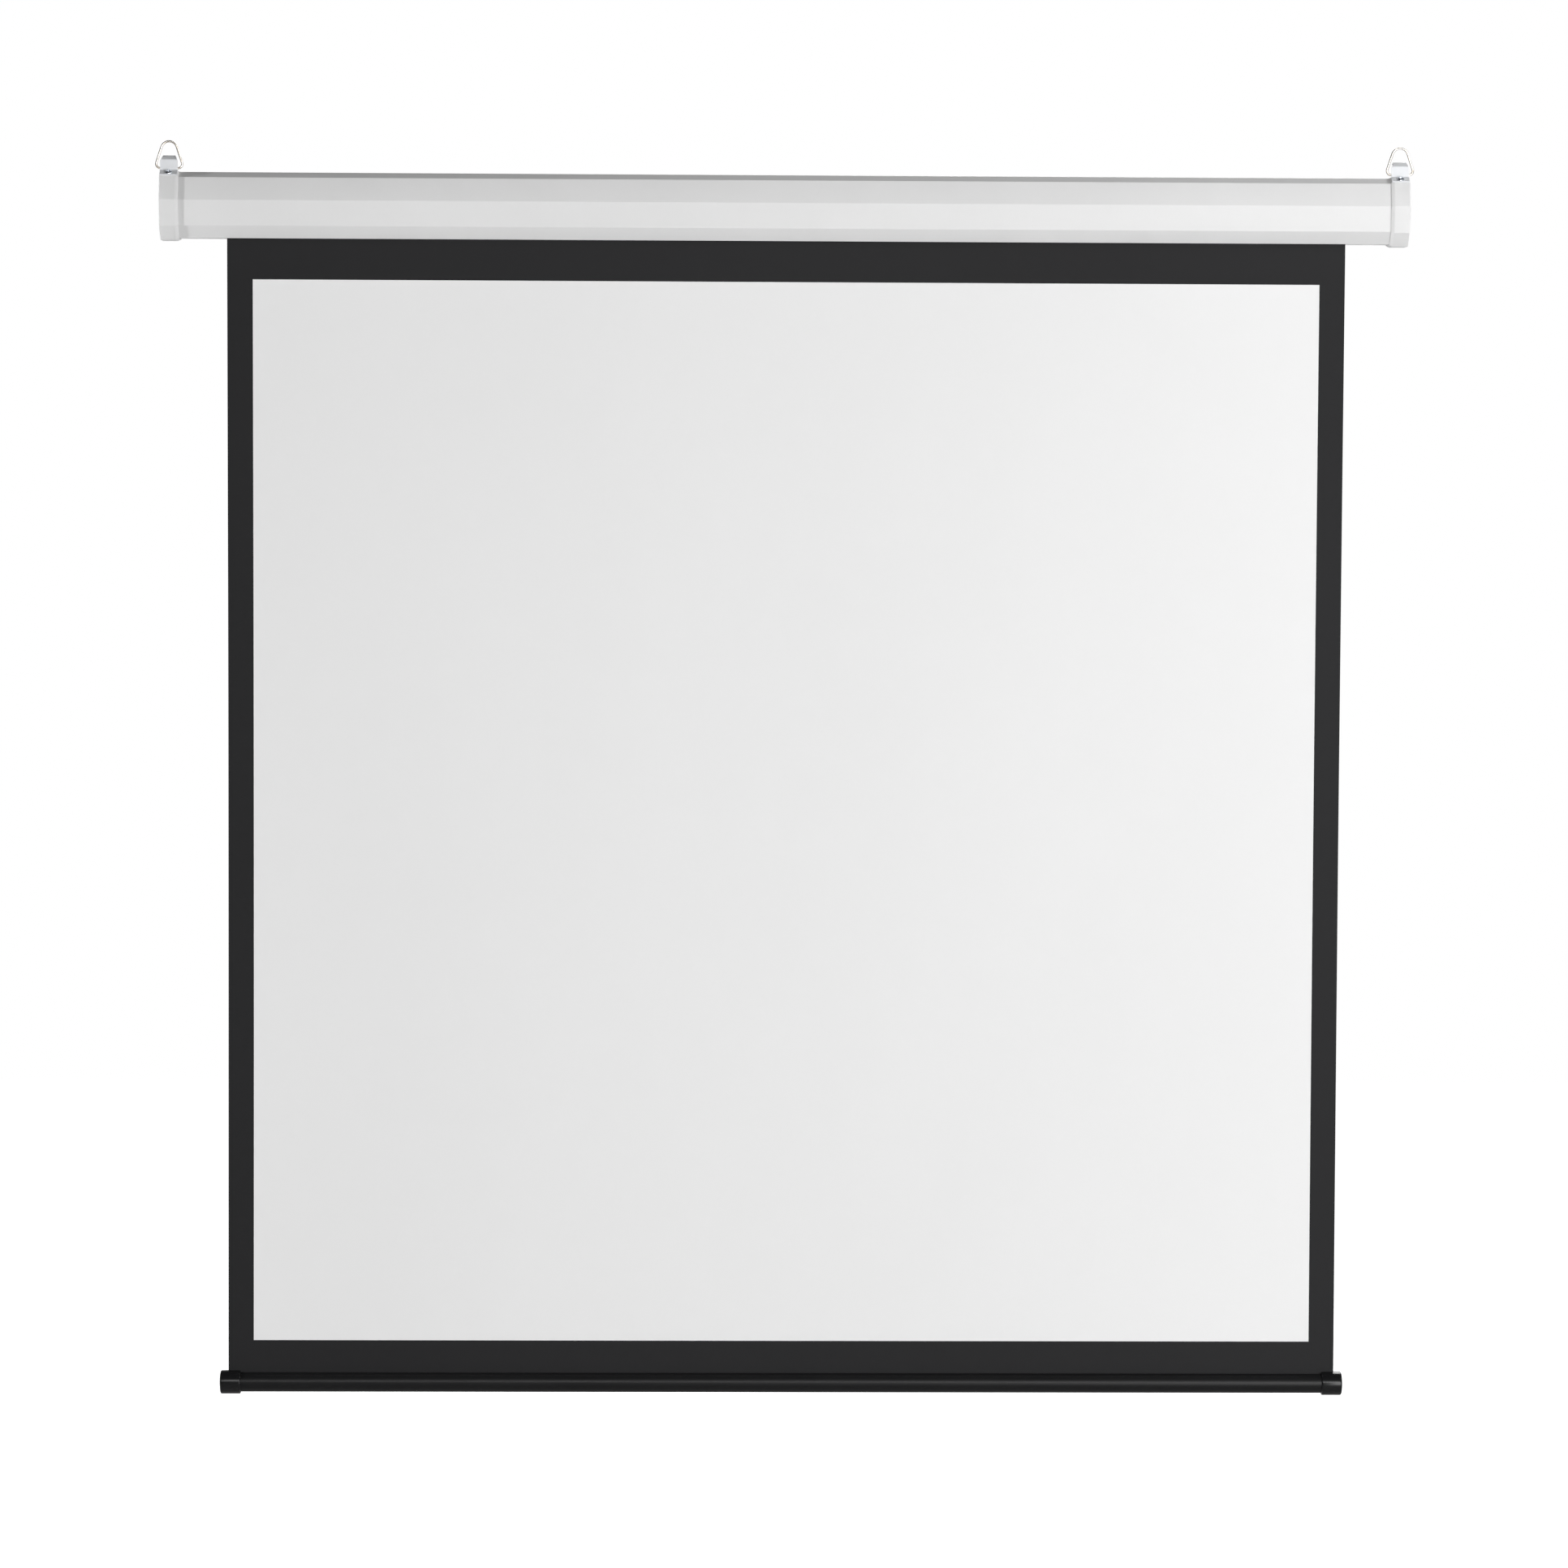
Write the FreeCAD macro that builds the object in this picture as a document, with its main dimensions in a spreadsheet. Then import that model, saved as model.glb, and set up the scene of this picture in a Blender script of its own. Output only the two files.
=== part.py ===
import FreeCAD, Part
import Sketcher
import math
import os

# Motorised roll-up projection screen, hanging at full drop. Millimetres.
# Origin: midway between the two ceiling holes, on the top face of the hanger straps.
# +X is to the right of someone facing the screen, +Y points to the wall, +Z is up.

SIZES = {
    # Case: a ten-sided tube. Each facet has a distance from the section's centre (reach)
    # and a direction (angle above the horizontal), the same at the front and at the back.
    "case_length": 1770.0,
    "case_wall": 1.2,
    "case_bend": 0.9,
    "case_back": 15.5,
    "case_drop": 70.0,
    "top_reach": 46.7,
    "chamfer_reach": 51.6,
    "chamfer_angle": 56.0,
    "upper_reach": 42.4,
    "upper_angle": 13.0,
    "middle_reach": 40.2,
    "middle_angle": -10.0,
    "lower_reach": 46.0,
    "lower_angle": -45.5,
    "bottom_reach": 46.7,
    "slot_side_room": 38.0,
    "slot_ahead": 4.0,
    "slot_behind": 7.0,
    # Screw ports: round channels along the inside of the case that take the cap screws.
    "port_bore": 1.6,
    "port_wall": 1.6,
    "top_port_shift": 16.0,
    "lower_port_shift": 7.7,
    # End caps: mouldings that slip over the ends of the case.
    "cap_clearance": 0.3,
    "cap_wall": 3.0,
    "cap_skirt": 20.0,
    "cap_stand_off": 4.0,
    "cap_bevel_length": 5.0,
    "cap_bevel_inset": 2.2,
    "cap_edge_round": 1.2,
    "screw_head_radius": 3.8,
    "screw_head_height": 2.2,
    "screw_core": 1.55,
    "screw_hole": 2.1,
    "screw_length": 20.0,
    "counterbore_gap": 0.3,
    "boss_wall": 1.6,
    "boss_gap": 0.3,
    # Hanger straps: bent steel, bridging the top of each cap.
    "strap_thickness": 2.0,
    "strap_bend": 0.8,
    "strap_width": 25.0,
    "strap_top_width": 17.4,
    "strap_height": 20.0,
    "strap_shoulder_drop": 7.6,
    "strap_shoulder_run": 7.0,
    "strap_front": 13.5,
    "strap_rear": 6.5,
    "strap_flange": 8.0,
    "strap_foot_reach": 8.0,
    "ceiling_hole": 3.2,
    "strap_screw_hole": 2.2,
    "strap_screw_head": 5.2,
    "strap_screw_dome": 2.6,
    "strap_screw_length": 9.0,
    "strap_screw_place": 3.6,
    # Hanging rings: bent wire triangles that hinge in the straps.
    "ring_wire": 3.0,
    "ring_width": 40.0,
    "ring_height": 41.0,
    "ring_top_bend": 11.5,
    "ring_corner_bend": 6.0,
    "ring_forward": 9.2,
    "ring_seat_gap": 0.3,
    # Roller and the drive inside it.
    "roller_radius": 20.0,
    "roller_wall": 1.0,
    "roller_back": 8.0,
    "roller_rise": 1.0,
    "roller_motor_end": 26.0,
    "roller_idler_end": 13.0,
    "press_gap": 0.05,
    "running_gap": 0.05,
    "motor_radius": 17.5,
    "motor_wall": 1.0,
    "motor_length": 400.0,
    "motor_wiring_room": 58.0,
    "gearbox_length": 120.0,
    "head_radius": 21.0,
    "head_length": 20.0,
    "head_spigot": 12.0,
    "head_square": 14.0,
    "head_edge_round": 2.0,
    "crown_length": 14.0,
    "crown_flange": 1.5,
    "crown_running_gap": 0.1,
    "drive_wheel_length": 14.0,
    "drive_web": 4.0,
    "drive_rim": 2.0,
    "drive_hub": 9.0,
    "shaft_radius": 5.0,
    "shaft_depth": 12.0,
    "shaft_reach": 18.0,
    "idler_plug_length": 20.0,
    "idler_plug_flange": 2.0,
    "idler_hub": 9.0,
    "idler_web": 4.0,
    "idler_rim": 2.5,
    "pin_overrun": 1.0,
    "bush_radius": 8.0,
    "bush_flange": 10.5,
    "bush_flange_length": 1.5,
    # Brackets that hold the drive and the idler inside the caps.
    "bracket_thickness": 2.0,
    "bracket_inset": 10.5,
    "bracket_boss_length": 6.0,
    "bracket_boss_radius": 4.0,
    "bracket_screw_circle": 31.0,
    "bracket_screw_length": 7.0,
    # Cable inlet in the cap at the motor end.
    "inlet_back": 27.0,
    "inlet_rise": 24.0,
    "inlet_neck": 5.0,
    "inlet_flange": 6.8,
    "inlet_bore": 3.2,
    "inlet_flange_length": 1.6,
    # Sheet: a black backing with a white facing, wound from the front of the roller.
    "sheet_end_room": 85.0,
    "sheet_offset": 2.7,
    "backing_thickness": 0.3,
    "facing_thickness": 0.15,
    "side_border": 36.5,
    "picture_height": 1527.0,
    "top_border": 58.3,
    "wound_turns": 2.0,
    "sheet_gap": 0.3,
    # Bottom bar: a round tube with a keyhole channel for the hem, and two end cups.
    "bar_overhang": 13.0,
    "bar_radius": 14.0,
    "bar_wall": 1.5,
    "bar_drop": 61.0,
    "hem_rod_radius": 2.2,
    "hem_gap": 0.05,
    "channel_gap": 0.45,
    "channel_wall": 1.2,
    "hem_slot": 1.6,
    "hem_rod_inset": 8.0,
    "bar_cap_radius": 17.0,
    "bar_cap_length": 31.0,
    "bar_cap_end": 3.0,
    "bar_cap_dome": 2.0,
    "bar_cap_slot": 2.4,
    "bar_cap_slot_depth": 22.0,
    "bar_cap_gap": 0.1,
    "bar_cap_round": 2.5,
    # One overrun serves every cut that has to pass clean through a face.
    "overrun": 1.0,
}

doc = FreeCAD.newDocument("ProjectionScreen")
sheet = doc.addObject("Spreadsheet::Sheet", "Sizes")
for row, (alias, size) in enumerate(SIZES.items(), start=1):
    sheet.set("A%d" % row, alias)
    sheet.set("B%d" % row, str(size))
    sheet.setAlias("B%d" % row, alias)
doc.recompute()

parts = {}
# Two places this close together count as one.
TINY = 1e-4


def q(text):
    """Expression in which each named size stands for its cell in the sheet."""
    words = []
    word = ""
    for letter in text + " ":
        if letter.isalnum() or letter == "_":
            word += letter
            continue
        words.append("Sizes." + word if word in SIZES else word)
        words.append(letter)
        word = ""
    return "".join(words).strip()


def number(text):
    """Present value of an expression in named sizes."""
    return float(sheet.evalExpression(q(text)))


# Places that several pieces share, written as expressions in the named sizes.
CASE_Y = "case_back"
CASE_Z = "(0 - case_drop)"
CASE_END = "(case_length/2)"
SHEET_WIDTH = "(case_length - 2*sheet_end_room)"
SHEET_LEFT = "(sheet_offset - %s/2)" % SHEET_WIDTH
PICTURE_WIDTH = "(%s - 2*side_border)" % SHEET_WIDTH
SLOT_LENGTH = "(%s + 2*slot_side_room)" % SHEET_WIDTH
BAR_LENGTH = "(%s + 2*bar_overhang)" % SHEET_WIDTH
CAP_INNER_FACE = "(case_length/2 + cap_stand_off)"
CAP_OUTER_FACE = "(case_length/2 + cap_stand_off + cap_wall)"
CAP_RIM = "(case_length/2 - cap_skirt)"
CAP_CENTRE = "((%s + %s)/2)" % (CAP_OUTER_FACE, CAP_RIM)
CAP_OFFSET = "(cap_clearance + cap_wall)"
ROLLER_Y = "(case_back + roller_back)"
ROLLER_Z = "(roller_rise - case_drop)"
BRACKET_FAR = "(%s - bracket_boss_length)" % CAP_INNER_FACE
BRACKET_NEAR = "(%s - bracket_thickness)" % BRACKET_FAR
HEAD_INNER = "(%s - head_length)" % BRACKET_NEAR
SHEET_THICKNESS = "(backing_thickness + facing_thickness)"
WOUND_RADIUS = "(roller_radius + press_gap + wound_turns*%s)" % SHEET_THICKNESS
SHEET_BACK = "(%s - %s - sheet_gap)" % (ROLLER_Y, WOUND_RADIUS)
SHEET_FRONT = "(%s - %s)" % (SHEET_BACK, SHEET_THICKNESS)
SHEET_MIDDLE = "(%s - %s/2)" % (SHEET_BACK, SHEET_THICKNESS)
PICTURE_TOP = "(0 - case_drop - bottom_reach - top_border)"
PICTURE_FOOT = "(%s - picture_height)" % PICTURE_TOP
BAR_Z = "(%s - bar_drop)" % PICTURE_FOOT
HEM_LOOP = "(hem_rod_radius + hem_gap + %s)" % SHEET_THICKNESS
CHANNEL_BORE = "(%s + channel_gap)" % HEM_LOOP
CHANNEL_Z = "(%s + bar_radius - bar_wall - %s)" % (BAR_Z, CHANNEL_BORE)
PORT_RADIUS = "(port_bore + port_wall)"
RING_Z = "(ring_seat_gap + ring_wire/2 - strap_height)"


def new_body(label):
    """Body that holds one piece, filed under its label."""
    body = doc.addObject("PartDesign::Body", label)
    body.Label = label
    parts[label] = body
    return body


def new_sketch(body, name, plane, shift="0"):
    """Sketch on one of the body's own planes, moved along the plane's normal."""
    sketch = body.newObject("Sketcher::SketchObject", name)
    support = [f for f in body.Origin.OriginFeatures if f.Role == plane][0]
    sketch.AttachmentSupport = [(support, "")]
    sketch.MapMode = "FlatFace"
    sketch.AttachmentOffset = FreeCAD.Placement(FreeCAD.Vector(0, 0, number(shift)), FreeCAD.Rotation())
    sketch.setExpression("AttachmentOffset.Base.z", q(shift))
    return sketch


def pin(sketch, kind, geometry, point, text):
    """Tie one coordinate of a sketch point to an expression."""
    index = sketch.addConstraint(Sketcher.Constraint(kind, -1, 1, geometry, point, number(text)))
    sketch.setExpression("Constraints[%d]" % index, q(text))


def set_radius(sketch, geometry, text):
    """Tie the radius of a circle or arc to an expression."""
    index = sketch.addConstraint(Sketcher.Constraint("Radius", geometry, number(text)))
    sketch.setExpression("Constraints[%d]" % index, q(text))


def add_polygon(sketch, points):
    """Closed outline through points given as pairs of expressions."""
    places = [FreeCAD.Vector(number(a), number(b), 0) for a, b in points]
    count = len(places)
    first = sketch.GeometryCount
    for k, place in enumerate(places):
        sketch.addGeometry(Part.LineSegment(place, places[(k + 1) % count]), False)
    for k in range(count):
        following = first + (k + 1) % count
        sketch.addConstraint(Sketcher.Constraint("Coincident", first + k, 2, following, 1))
    for k, (a, b) in enumerate(points):
        pin(sketch, "DistanceX", first + k, 1, a)
        pin(sketch, "DistanceY", first + k, 1, b)


def add_circle(sketch, across, up, radius):
    """Circle whose centre and radius are expressions."""
    centre = FreeCAD.Vector(number(across), number(up), 0)
    shape = Part.Circle(centre, FreeCAD.Vector(0, 0, 1), number(radius))
    circle = sketch.addGeometry(shape, False)
    set_radius(sketch, circle, radius)
    pin(sketch, "DistanceX", circle, 3, across)
    pin(sketch, "DistanceY", circle, 3, up)


def outline(body, name, plane, shift, polygons=(), circles=()):
    """Sketch with closed polygons and circles."""
    sketch = new_sketch(body, name, plane, shift)
    for points in polygons:
        add_polygon(sketch, points)
    for circle in circles:
        add_circle(sketch, *circle)
    return sketch


def pad(body, name, start, length, polygons=(), circles=(), plane="YZ_Plane"):
    """Solid drawn out along the plane's normal from start, by length."""
    sketch = outline(body, name + "_outline", plane, start, polygons, circles)
    feature = body.newObject("PartDesign::Pad", name)
    feature.Profile = sketch
    feature.Length = number(length)
    feature.setExpression("Length", q(length))
    return feature


def pocket(body, name, start, length, polygons=(), circles=(), plane="YZ_Plane"):
    """Cut along the plane's normal from start, by length."""
    sketch = outline(body, name + "_outline", plane, start, polygons, circles)
    feature = body.newObject("PartDesign::Pocket", name)
    feature.Profile = sketch
    feature.Reversed = True
    feature.Length = number(length)
    feature.setExpression("Length", q(length))
    return feature


def corner(first, second):
    """Meeting point of two lines, each given as its normal's angle and its distance."""
    (a, d), (b, e) = first, second
    turn = "sin((%s) - (%s))" % (b, a)
    across = "((%s)*sin(%s) - (%s)*sin(%s))/%s" % (d, b, e, a, turn)
    up = "((%s)*cos(%s) - (%s)*cos(%s))/%s" % (e, a, d, b, turn)
    return across, up


def polygon_of(lines, across="0", up="0"):
    """Corners of the outline whose sides lie on the given lines, moved to a centre."""
    corners = [corner(lines[k - 1], lines[k]) for k in range(len(lines))]
    return [("%s + %s" % (across, a), "%s + %s" % (up, b)) for a, b in corners]


def case_section(offset):
    """Ten-sided outline of the case, moved outwards by an offset."""
    front = [
        ("chamfer_angle*1 deg", "chamfer_reach"),
        ("upper_angle*1 deg", "upper_reach"),
        ("middle_angle*1 deg", "middle_reach"),
        ("lower_angle*1 deg", "lower_reach"),
    ]
    lines = [("90 deg", "top_reach + " + offset)]
    lines += [("180 deg - %s" % a, "%s + %s" % (d, offset)) for a, d in front]
    lines += [("270 deg", "bottom_reach + " + offset)]
    lines += [(a, "%s + %s" % (d, offset)) for a, d in reversed(front)]
    return polygon_of(lines, CASE_Y, CASE_Z)


def rectangle(left, right, low, high):
    """Corners of an upright rectangle."""
    return [(left, low), (right, low), (right, high), (left, high)]


def port_centres():
    """Centres of the four screw ports, each inside the facet that carries it."""
    top_up = "top_reach - case_wall/2 - %s" % PORT_RADIUS
    reach = "(lower_reach - case_wall/2 - %s)" % PORT_RADIUS
    lower_across = "(%s*cos(lower_angle*1 deg) + lower_port_shift*sin(lower_angle*1 deg))" % reach
    lower_up = "(%s*sin(lower_angle*1 deg) - lower_port_shift*cos(lower_angle*1 deg))" % reach
    return [
        ("%s - top_port_shift" % CASE_Y, "%s + %s" % (CASE_Z, top_up)),
        ("%s + top_port_shift" % CASE_Y, "%s + %s" % (CASE_Z, top_up)),
        ("%s - %s" % (CASE_Y, lower_across), "%s + %s" % (CASE_Z, lower_up)),
        ("%s + %s" % (CASE_Y, lower_across), "%s + %s" % (CASE_Z, lower_up)),
    ]


def bracket_screw_places():
    """Three screws round the roller's axis: above, below and in front."""
    return [
        (ROLLER_Y, "%s + bracket_screw_circle" % ROLLER_Z),
        (ROLLER_Y, "%s - bracket_screw_circle" % ROLLER_Z),
        ("%s - bracket_screw_circle" % ROLLER_Y, ROLLER_Z),
    ]


def span(side, inner, outer):
    """Start of a stretch between two distances from the middle, on one side."""
    return inner if side > 0 else "0 - %s" % outer


def side_pad(body, name, side, inner, outer, polygons=(), circles=()):
    """Pad between two distances from the middle, on one side."""
    return pad(body, name, span(side, inner, outer), "%s - %s" % (outer, inner), polygons, circles)


def side_pocket(body, name, side, inner, outer, polygons=(), circles=()):
    """Pocket between two distances from the middle, on one side."""
    return pocket(body, name, span(side, inner, outer), "%s - %s" % (outer, inner), polygons, circles)


def rod(name, radius, length, place, tilt="0"):
    """Cylinder for a drilled hole, from place along +Z tipped about X."""
    cylinder = doc.addObject("Part::Cylinder", name)
    cylinder.setExpression("Radius", q(radius))
    cylinder.setExpression("Height", q(length))
    cylinder.Placement = FreeCAD.Placement(FreeCAD.Vector(), FreeCAD.Rotation(FreeCAD.Vector(1, 0, 0), 1))
    cylinder.setExpression("Placement.Rotation.Angle", q(tilt + "*1 deg"))
    for axis, text in zip("xyz", place):
        cylinder.setExpression("Placement.Base." + axis, q(text))
    return cylinder


def drilled(label, tools):
    """Piece with holes cut by the given solids."""
    shape = parts[label]
    shape.Label = label + "_blank"
    for count, tool in enumerate(tools, start=1):
        cut = doc.addObject("Part::Cut", "%s_drilled_%d" % (label, count))
        cut.Base = shape
        cut.Tool = tool
        shape = cut
    shape.Label = label
    parts[label] = shape


# Foot of each strap: it lies on the cap's front chamfer.
FOOT_ANGLE = "(180 - chamfer_angle)"
FOOT_UP = "(90 - chamfer_angle)"


def foot_point(shift, height):
    """Point on the front chamfer of the cap: shift runs down it, height stands off it."""
    normal = "(chamfer_reach + %s + %s)" % (CAP_OFFSET, height)
    cosine = "cos(chamfer_angle*1 deg)"
    sine = "sin(chamfer_angle*1 deg)"
    across = "%s - %s*%s - (%s)*%s" % (CASE_Y, normal, cosine, shift, sine)
    up = "%s + %s*%s - (%s)*%s" % (CASE_Z, normal, sine, shift, cosine)
    return across, up


SCREW_SHIFT = "(strap_foot_reach - strap_screw_place - strap_thickness/2)"


def strap_screw_hole(name, side, radius, depth):
    """Solid for the hole of a strap screw, square to the chamfer."""
    across, up = foot_point(SCREW_SHIFT, "0 - %s" % depth)
    centre = "%s*%s" % (side, CAP_CENTRE)
    return rod(name, radius, "%s + strap_thickness + overrun" % depth, (centre, across, up), FOOT_UP)


def make_case():
    """Ten-sided tube with four screw ports and the slot that the sheet leaves through."""
    body = new_body("case_profile")
    start = "0 - %s" % CASE_END
    pad(body, "case_tube", start, "case_length", [case_section("0"), case_section("0 - case_wall")])
    round_long_edges(body, "case_ridges", case_section("0"), "case_bend")
    centres = port_centres()
    rings = [(a, b, r) for a, b in centres for r in (PORT_RADIUS, "port_bore")]
    pad(body, "case_ports", start, "case_length", circles=rings)
    low = "%s - bottom_reach - overrun" % CASE_Z
    high = "%s - bottom_reach + case_wall + overrun" % CASE_Z
    slot = rectangle("%s - slot_ahead" % SHEET_FRONT, "%s + slot_behind" % SHEET_BACK, low, high)
    pocket(body, "sheet_slot", "0 - %s/2" % SLOT_LENGTH, SLOT_LENGTH, [slot])
    depth = "(cap_wall + cap_clearance + case_wall + overrun)"
    names = {-1: "left", 1: "right"}
    holes = [strap_screw_hole("case_hole_" + names[s], s, "port_bore", depth) for s in (-1, 1)]
    drilled("case_profile", holes)


def make_end_cap(label, side):
    """Moulded cap: skirt with a bevelled rim, end wall, screw bosses and bracket bosses."""
    body = new_body(label)
    flat_start = "(%s + cap_bevel_length)" % CAP_RIM
    side_pad(body, label + "_block", side, flat_start, CAP_OUTER_FACE, [case_section(CAP_OFFSET)])
    wide = outline(body, label + "_bevel_wide", "YZ_Plane", span(side, flat_start, flat_start),
                   [case_section(CAP_OFFSET)])
    narrow = outline(body, label + "_bevel_narrow", "YZ_Plane", span(side, CAP_RIM, CAP_RIM),
                     [case_section("%s - cap_bevel_inset" % CAP_OFFSET)])
    loft = body.newObject("PartDesign::AdditiveLoft", label + "_bevel")
    loft.Profile = wide
    loft.Sections = [narrow]
    loft.Ruled = True
    round_outer_edges(body, label + "_edge", "%d*%s" % (side, CAP_OUTER_FACE), "cap_edge_round")
    rim = "(%s - overrun)" % CAP_RIM
    side_pocket(body, label + "_hollow", side, rim, CAP_INNER_FACE, [case_section("cap_clearance")])
    bore = "(screw_head_radius + counterbore_gap)"
    boss_start = "(%s + boss_gap)" % CASE_END
    bosses = [(a, b, bore + " + boss_wall") for a, b in port_centres()]
    side_pad(body, label + "_bosses", side, boss_start, "(%s + overrun)" % CAP_INNER_FACE, circles=bosses)
    stands = [(a, b, "bracket_boss_radius") for a, b in bracket_screw_places()]
    side_pad(body, label + "_stands", side, BRACKET_FAR, "(%s + overrun)" % CAP_INNER_FACE, circles=stands)
    holes = [(a, b, "screw_hole") for a, b in port_centres()]
    beyond = "(%s + overrun)" % CAP_OUTER_FACE
    side_pocket(body, label + "_holes", side, rim, beyond, circles=holes)
    seats = [(a, b, bore) for a, b in port_centres()]
    seat_start = "(%s - screw_head_height)" % CAP_OUTER_FACE
    side_pocket(body, label + "_seats", side, seat_start, beyond, circles=seats)
    cores = [(a, b, "port_bore") for a, b in bracket_screw_places()]
    core_end = "(%s + overrun)" % CAP_INNER_FACE
    side_pocket(body, label + "_cores", side, rim, core_end, circles=cores)
    if side < 0:
        inlet = [("%s + inlet_back" % CASE_Y, "%s + inlet_rise" % CASE_Z, "inlet_neck + press_gap")]
        side_pocket(body, label + "_inlet", side, rim, beyond, circles=inlet)
    depth = "(cap_wall + overrun)"
    drilled(label, [strap_screw_hole(label + "_strap_hole", side, "strap_screw_hole", depth)])


def fillet_where(body, name, wanted, radius):
    """Fillet on the edges of the newest shape whose bounding box passes a test."""
    doc.recompute()
    base = body.Tip
    numbered = enumerate(base.Shape.Edges, start=1)
    edges = ["Edge%d" % index for index, edge in numbered if wanted(edge.BoundBox)]
    fillet = body.newObject("PartDesign::Fillet", name)
    fillet.Base = (base, edges)
    fillet.Radius = number(radius)
    fillet.setExpression("Radius", q(radius))
    doc.recompute()
    return fillet


def round_outer_edges(body, name, place, radius):
    """Fillet on the edges that lie wholly in the plane X = place."""
    where = number(place)

    def in_plane(box):
        return abs(box.XMin - where) < TINY and abs(box.XMax - where) < TINY

    return fillet_where(body, name, in_plane, radius)


def round_long_edges(body, name, corners, radius):
    """Fillet on the edges that run along X through the given corners of the section."""
    places = [(number(a), number(b)) for a, b in corners]

    def at_corner(box):
        if box.YLength > TINY or box.ZLength > TINY:
            return False
        return any(abs(box.YMin - a) < TINY and abs(box.ZMin - b) < TINY for a, b in places)

    return fillet_where(body, name, at_corner, radius)


def strap_lines():
    """Sides of the strap's bent section, in order round it."""
    cap_top = "strap_height"
    drop = "strap_shoulder_drop"
    run = "strap_shoulder_run"
    shoulder = "(180 deg - atan(%s/%s))" % (drop, run)
    shoulder_reach = "((strap_front - %s)*sin(atan(%s/%s)))" % (run, drop, run)
    foot = "(%s*1 deg)" % FOOT_ANGLE
    plane = "(chamfer_reach + %s + %s*cos%s - case_drop*sin%s)" % (CAP_OFFSET, CASE_Y, foot, foot)
    along = "(%s*1 deg + 90 deg)" % FOOT_ANGLE
    end = "(strap_foot_reach + %s*cos%s - case_drop*sin%s)" % (CASE_Y, along, along)
    return [
        ("0 deg", "strap_rear + strap_flange"),
        ("90 deg", "strap_thickness - %s" % cap_top),
        ("0 deg", "strap_rear"),
        ("90 deg", "0"),
        (shoulder, shoulder_reach),
        ("180 deg", "strap_front"),
        (foot, "%s + strap_thickness" % plane),
        (along, end),
        ("%s + 180 deg" % foot, "0 - %s" % plane),
        ("0 deg", "strap_thickness - strap_front"),
        ("%s + 180 deg" % shoulder, "strap_thickness - %s" % shoulder_reach),
        ("270 deg", "strap_thickness"),
        ("180 deg", "strap_thickness - strap_rear"),
        ("270 deg", cap_top),
    ]


def make_strap(label, side):
    """Bent strap: foot, front web, tapered shoulder, pierced top, narrow rear web and flange."""
    body = new_body(label)
    centre = "%s*%s" % (side, CAP_CENTRE)
    half = "strap_width/2"
    narrow = "strap_top_width/2"
    corners = polygon_of(strap_lines())
    pad(body, label + "_bend", "%s - %s" % (centre, half), "strap_width", [corners])
    # Each bend has a tight side and a wide one; the ends of the strip stay square.
    tight = [corners[k] for k in (2, 6, 10, 11, 12)]
    wide = [corners[k] for k in (3, 4, 5, 9, 13)]
    round_long_edges(body, label + "_tight_sides", tight, "strap_bend")
    round_long_edges(body, label + "_wide_sides", wide, "strap_bend + strap_thickness")
    low = "0 - strap_shoulder_drop"
    front = "strap_front + overrun"
    depth = "strap_front + overrun + strap_rear + strap_flange + overrun"
    rear_front = "0 - (strap_rear - strap_thickness)"
    relief_depth = "strap_thickness + strap_flange + overrun"
    for name, way in (("a", -1), ("b", 1)):
        edge = "%s + (%d)*%s" % (centre, way, half)
        top = "%s + (%d)*%s" % (centre, way, narrow)
        out = "%s + (%d)*overrun" % (edge, way)
        taper = [(edge, low), (top, "0"), (top, "overrun"), (out, "overrun"), (out, low)]
        cut_back(body, label + "_taper_" + name, front, depth, taper)
        ends = (top, out) if way > 0 else (out, top)
        relief = rectangle(ends[0], ends[1], "0 - strap_height - overrun", "overrun")
        cut_back(body, label + "_relief_" + name, rear_front, relief_depth, relief)
    place = [(centre, "0", "ceiling_hole")]
    hole = outline(body, label + "_hole_outline", "XY_Plane", "overrun", circles=place)
    bore = body.newObject("PartDesign::Pocket", label + "_hole")
    bore.Profile = hole
    bore.setExpression("Length", q("overrun + strap_thickness + overrun"))
    drilled(label, [strap_screw_hole(label + "_foot_hole", side, "strap_screw_hole", "overrun")])


def cut_back(body, name, front, depth, points):
    """Cut from a front plane towards the wall."""
    sketch = outline(body, name + "_outline", "XZ_Plane", front, [points])
    feature = body.newObject("PartDesign::Pocket", name)
    feature.Profile = sketch
    feature.Length = number(depth)
    feature.setExpression("Length", q(depth))
    return feature


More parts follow.
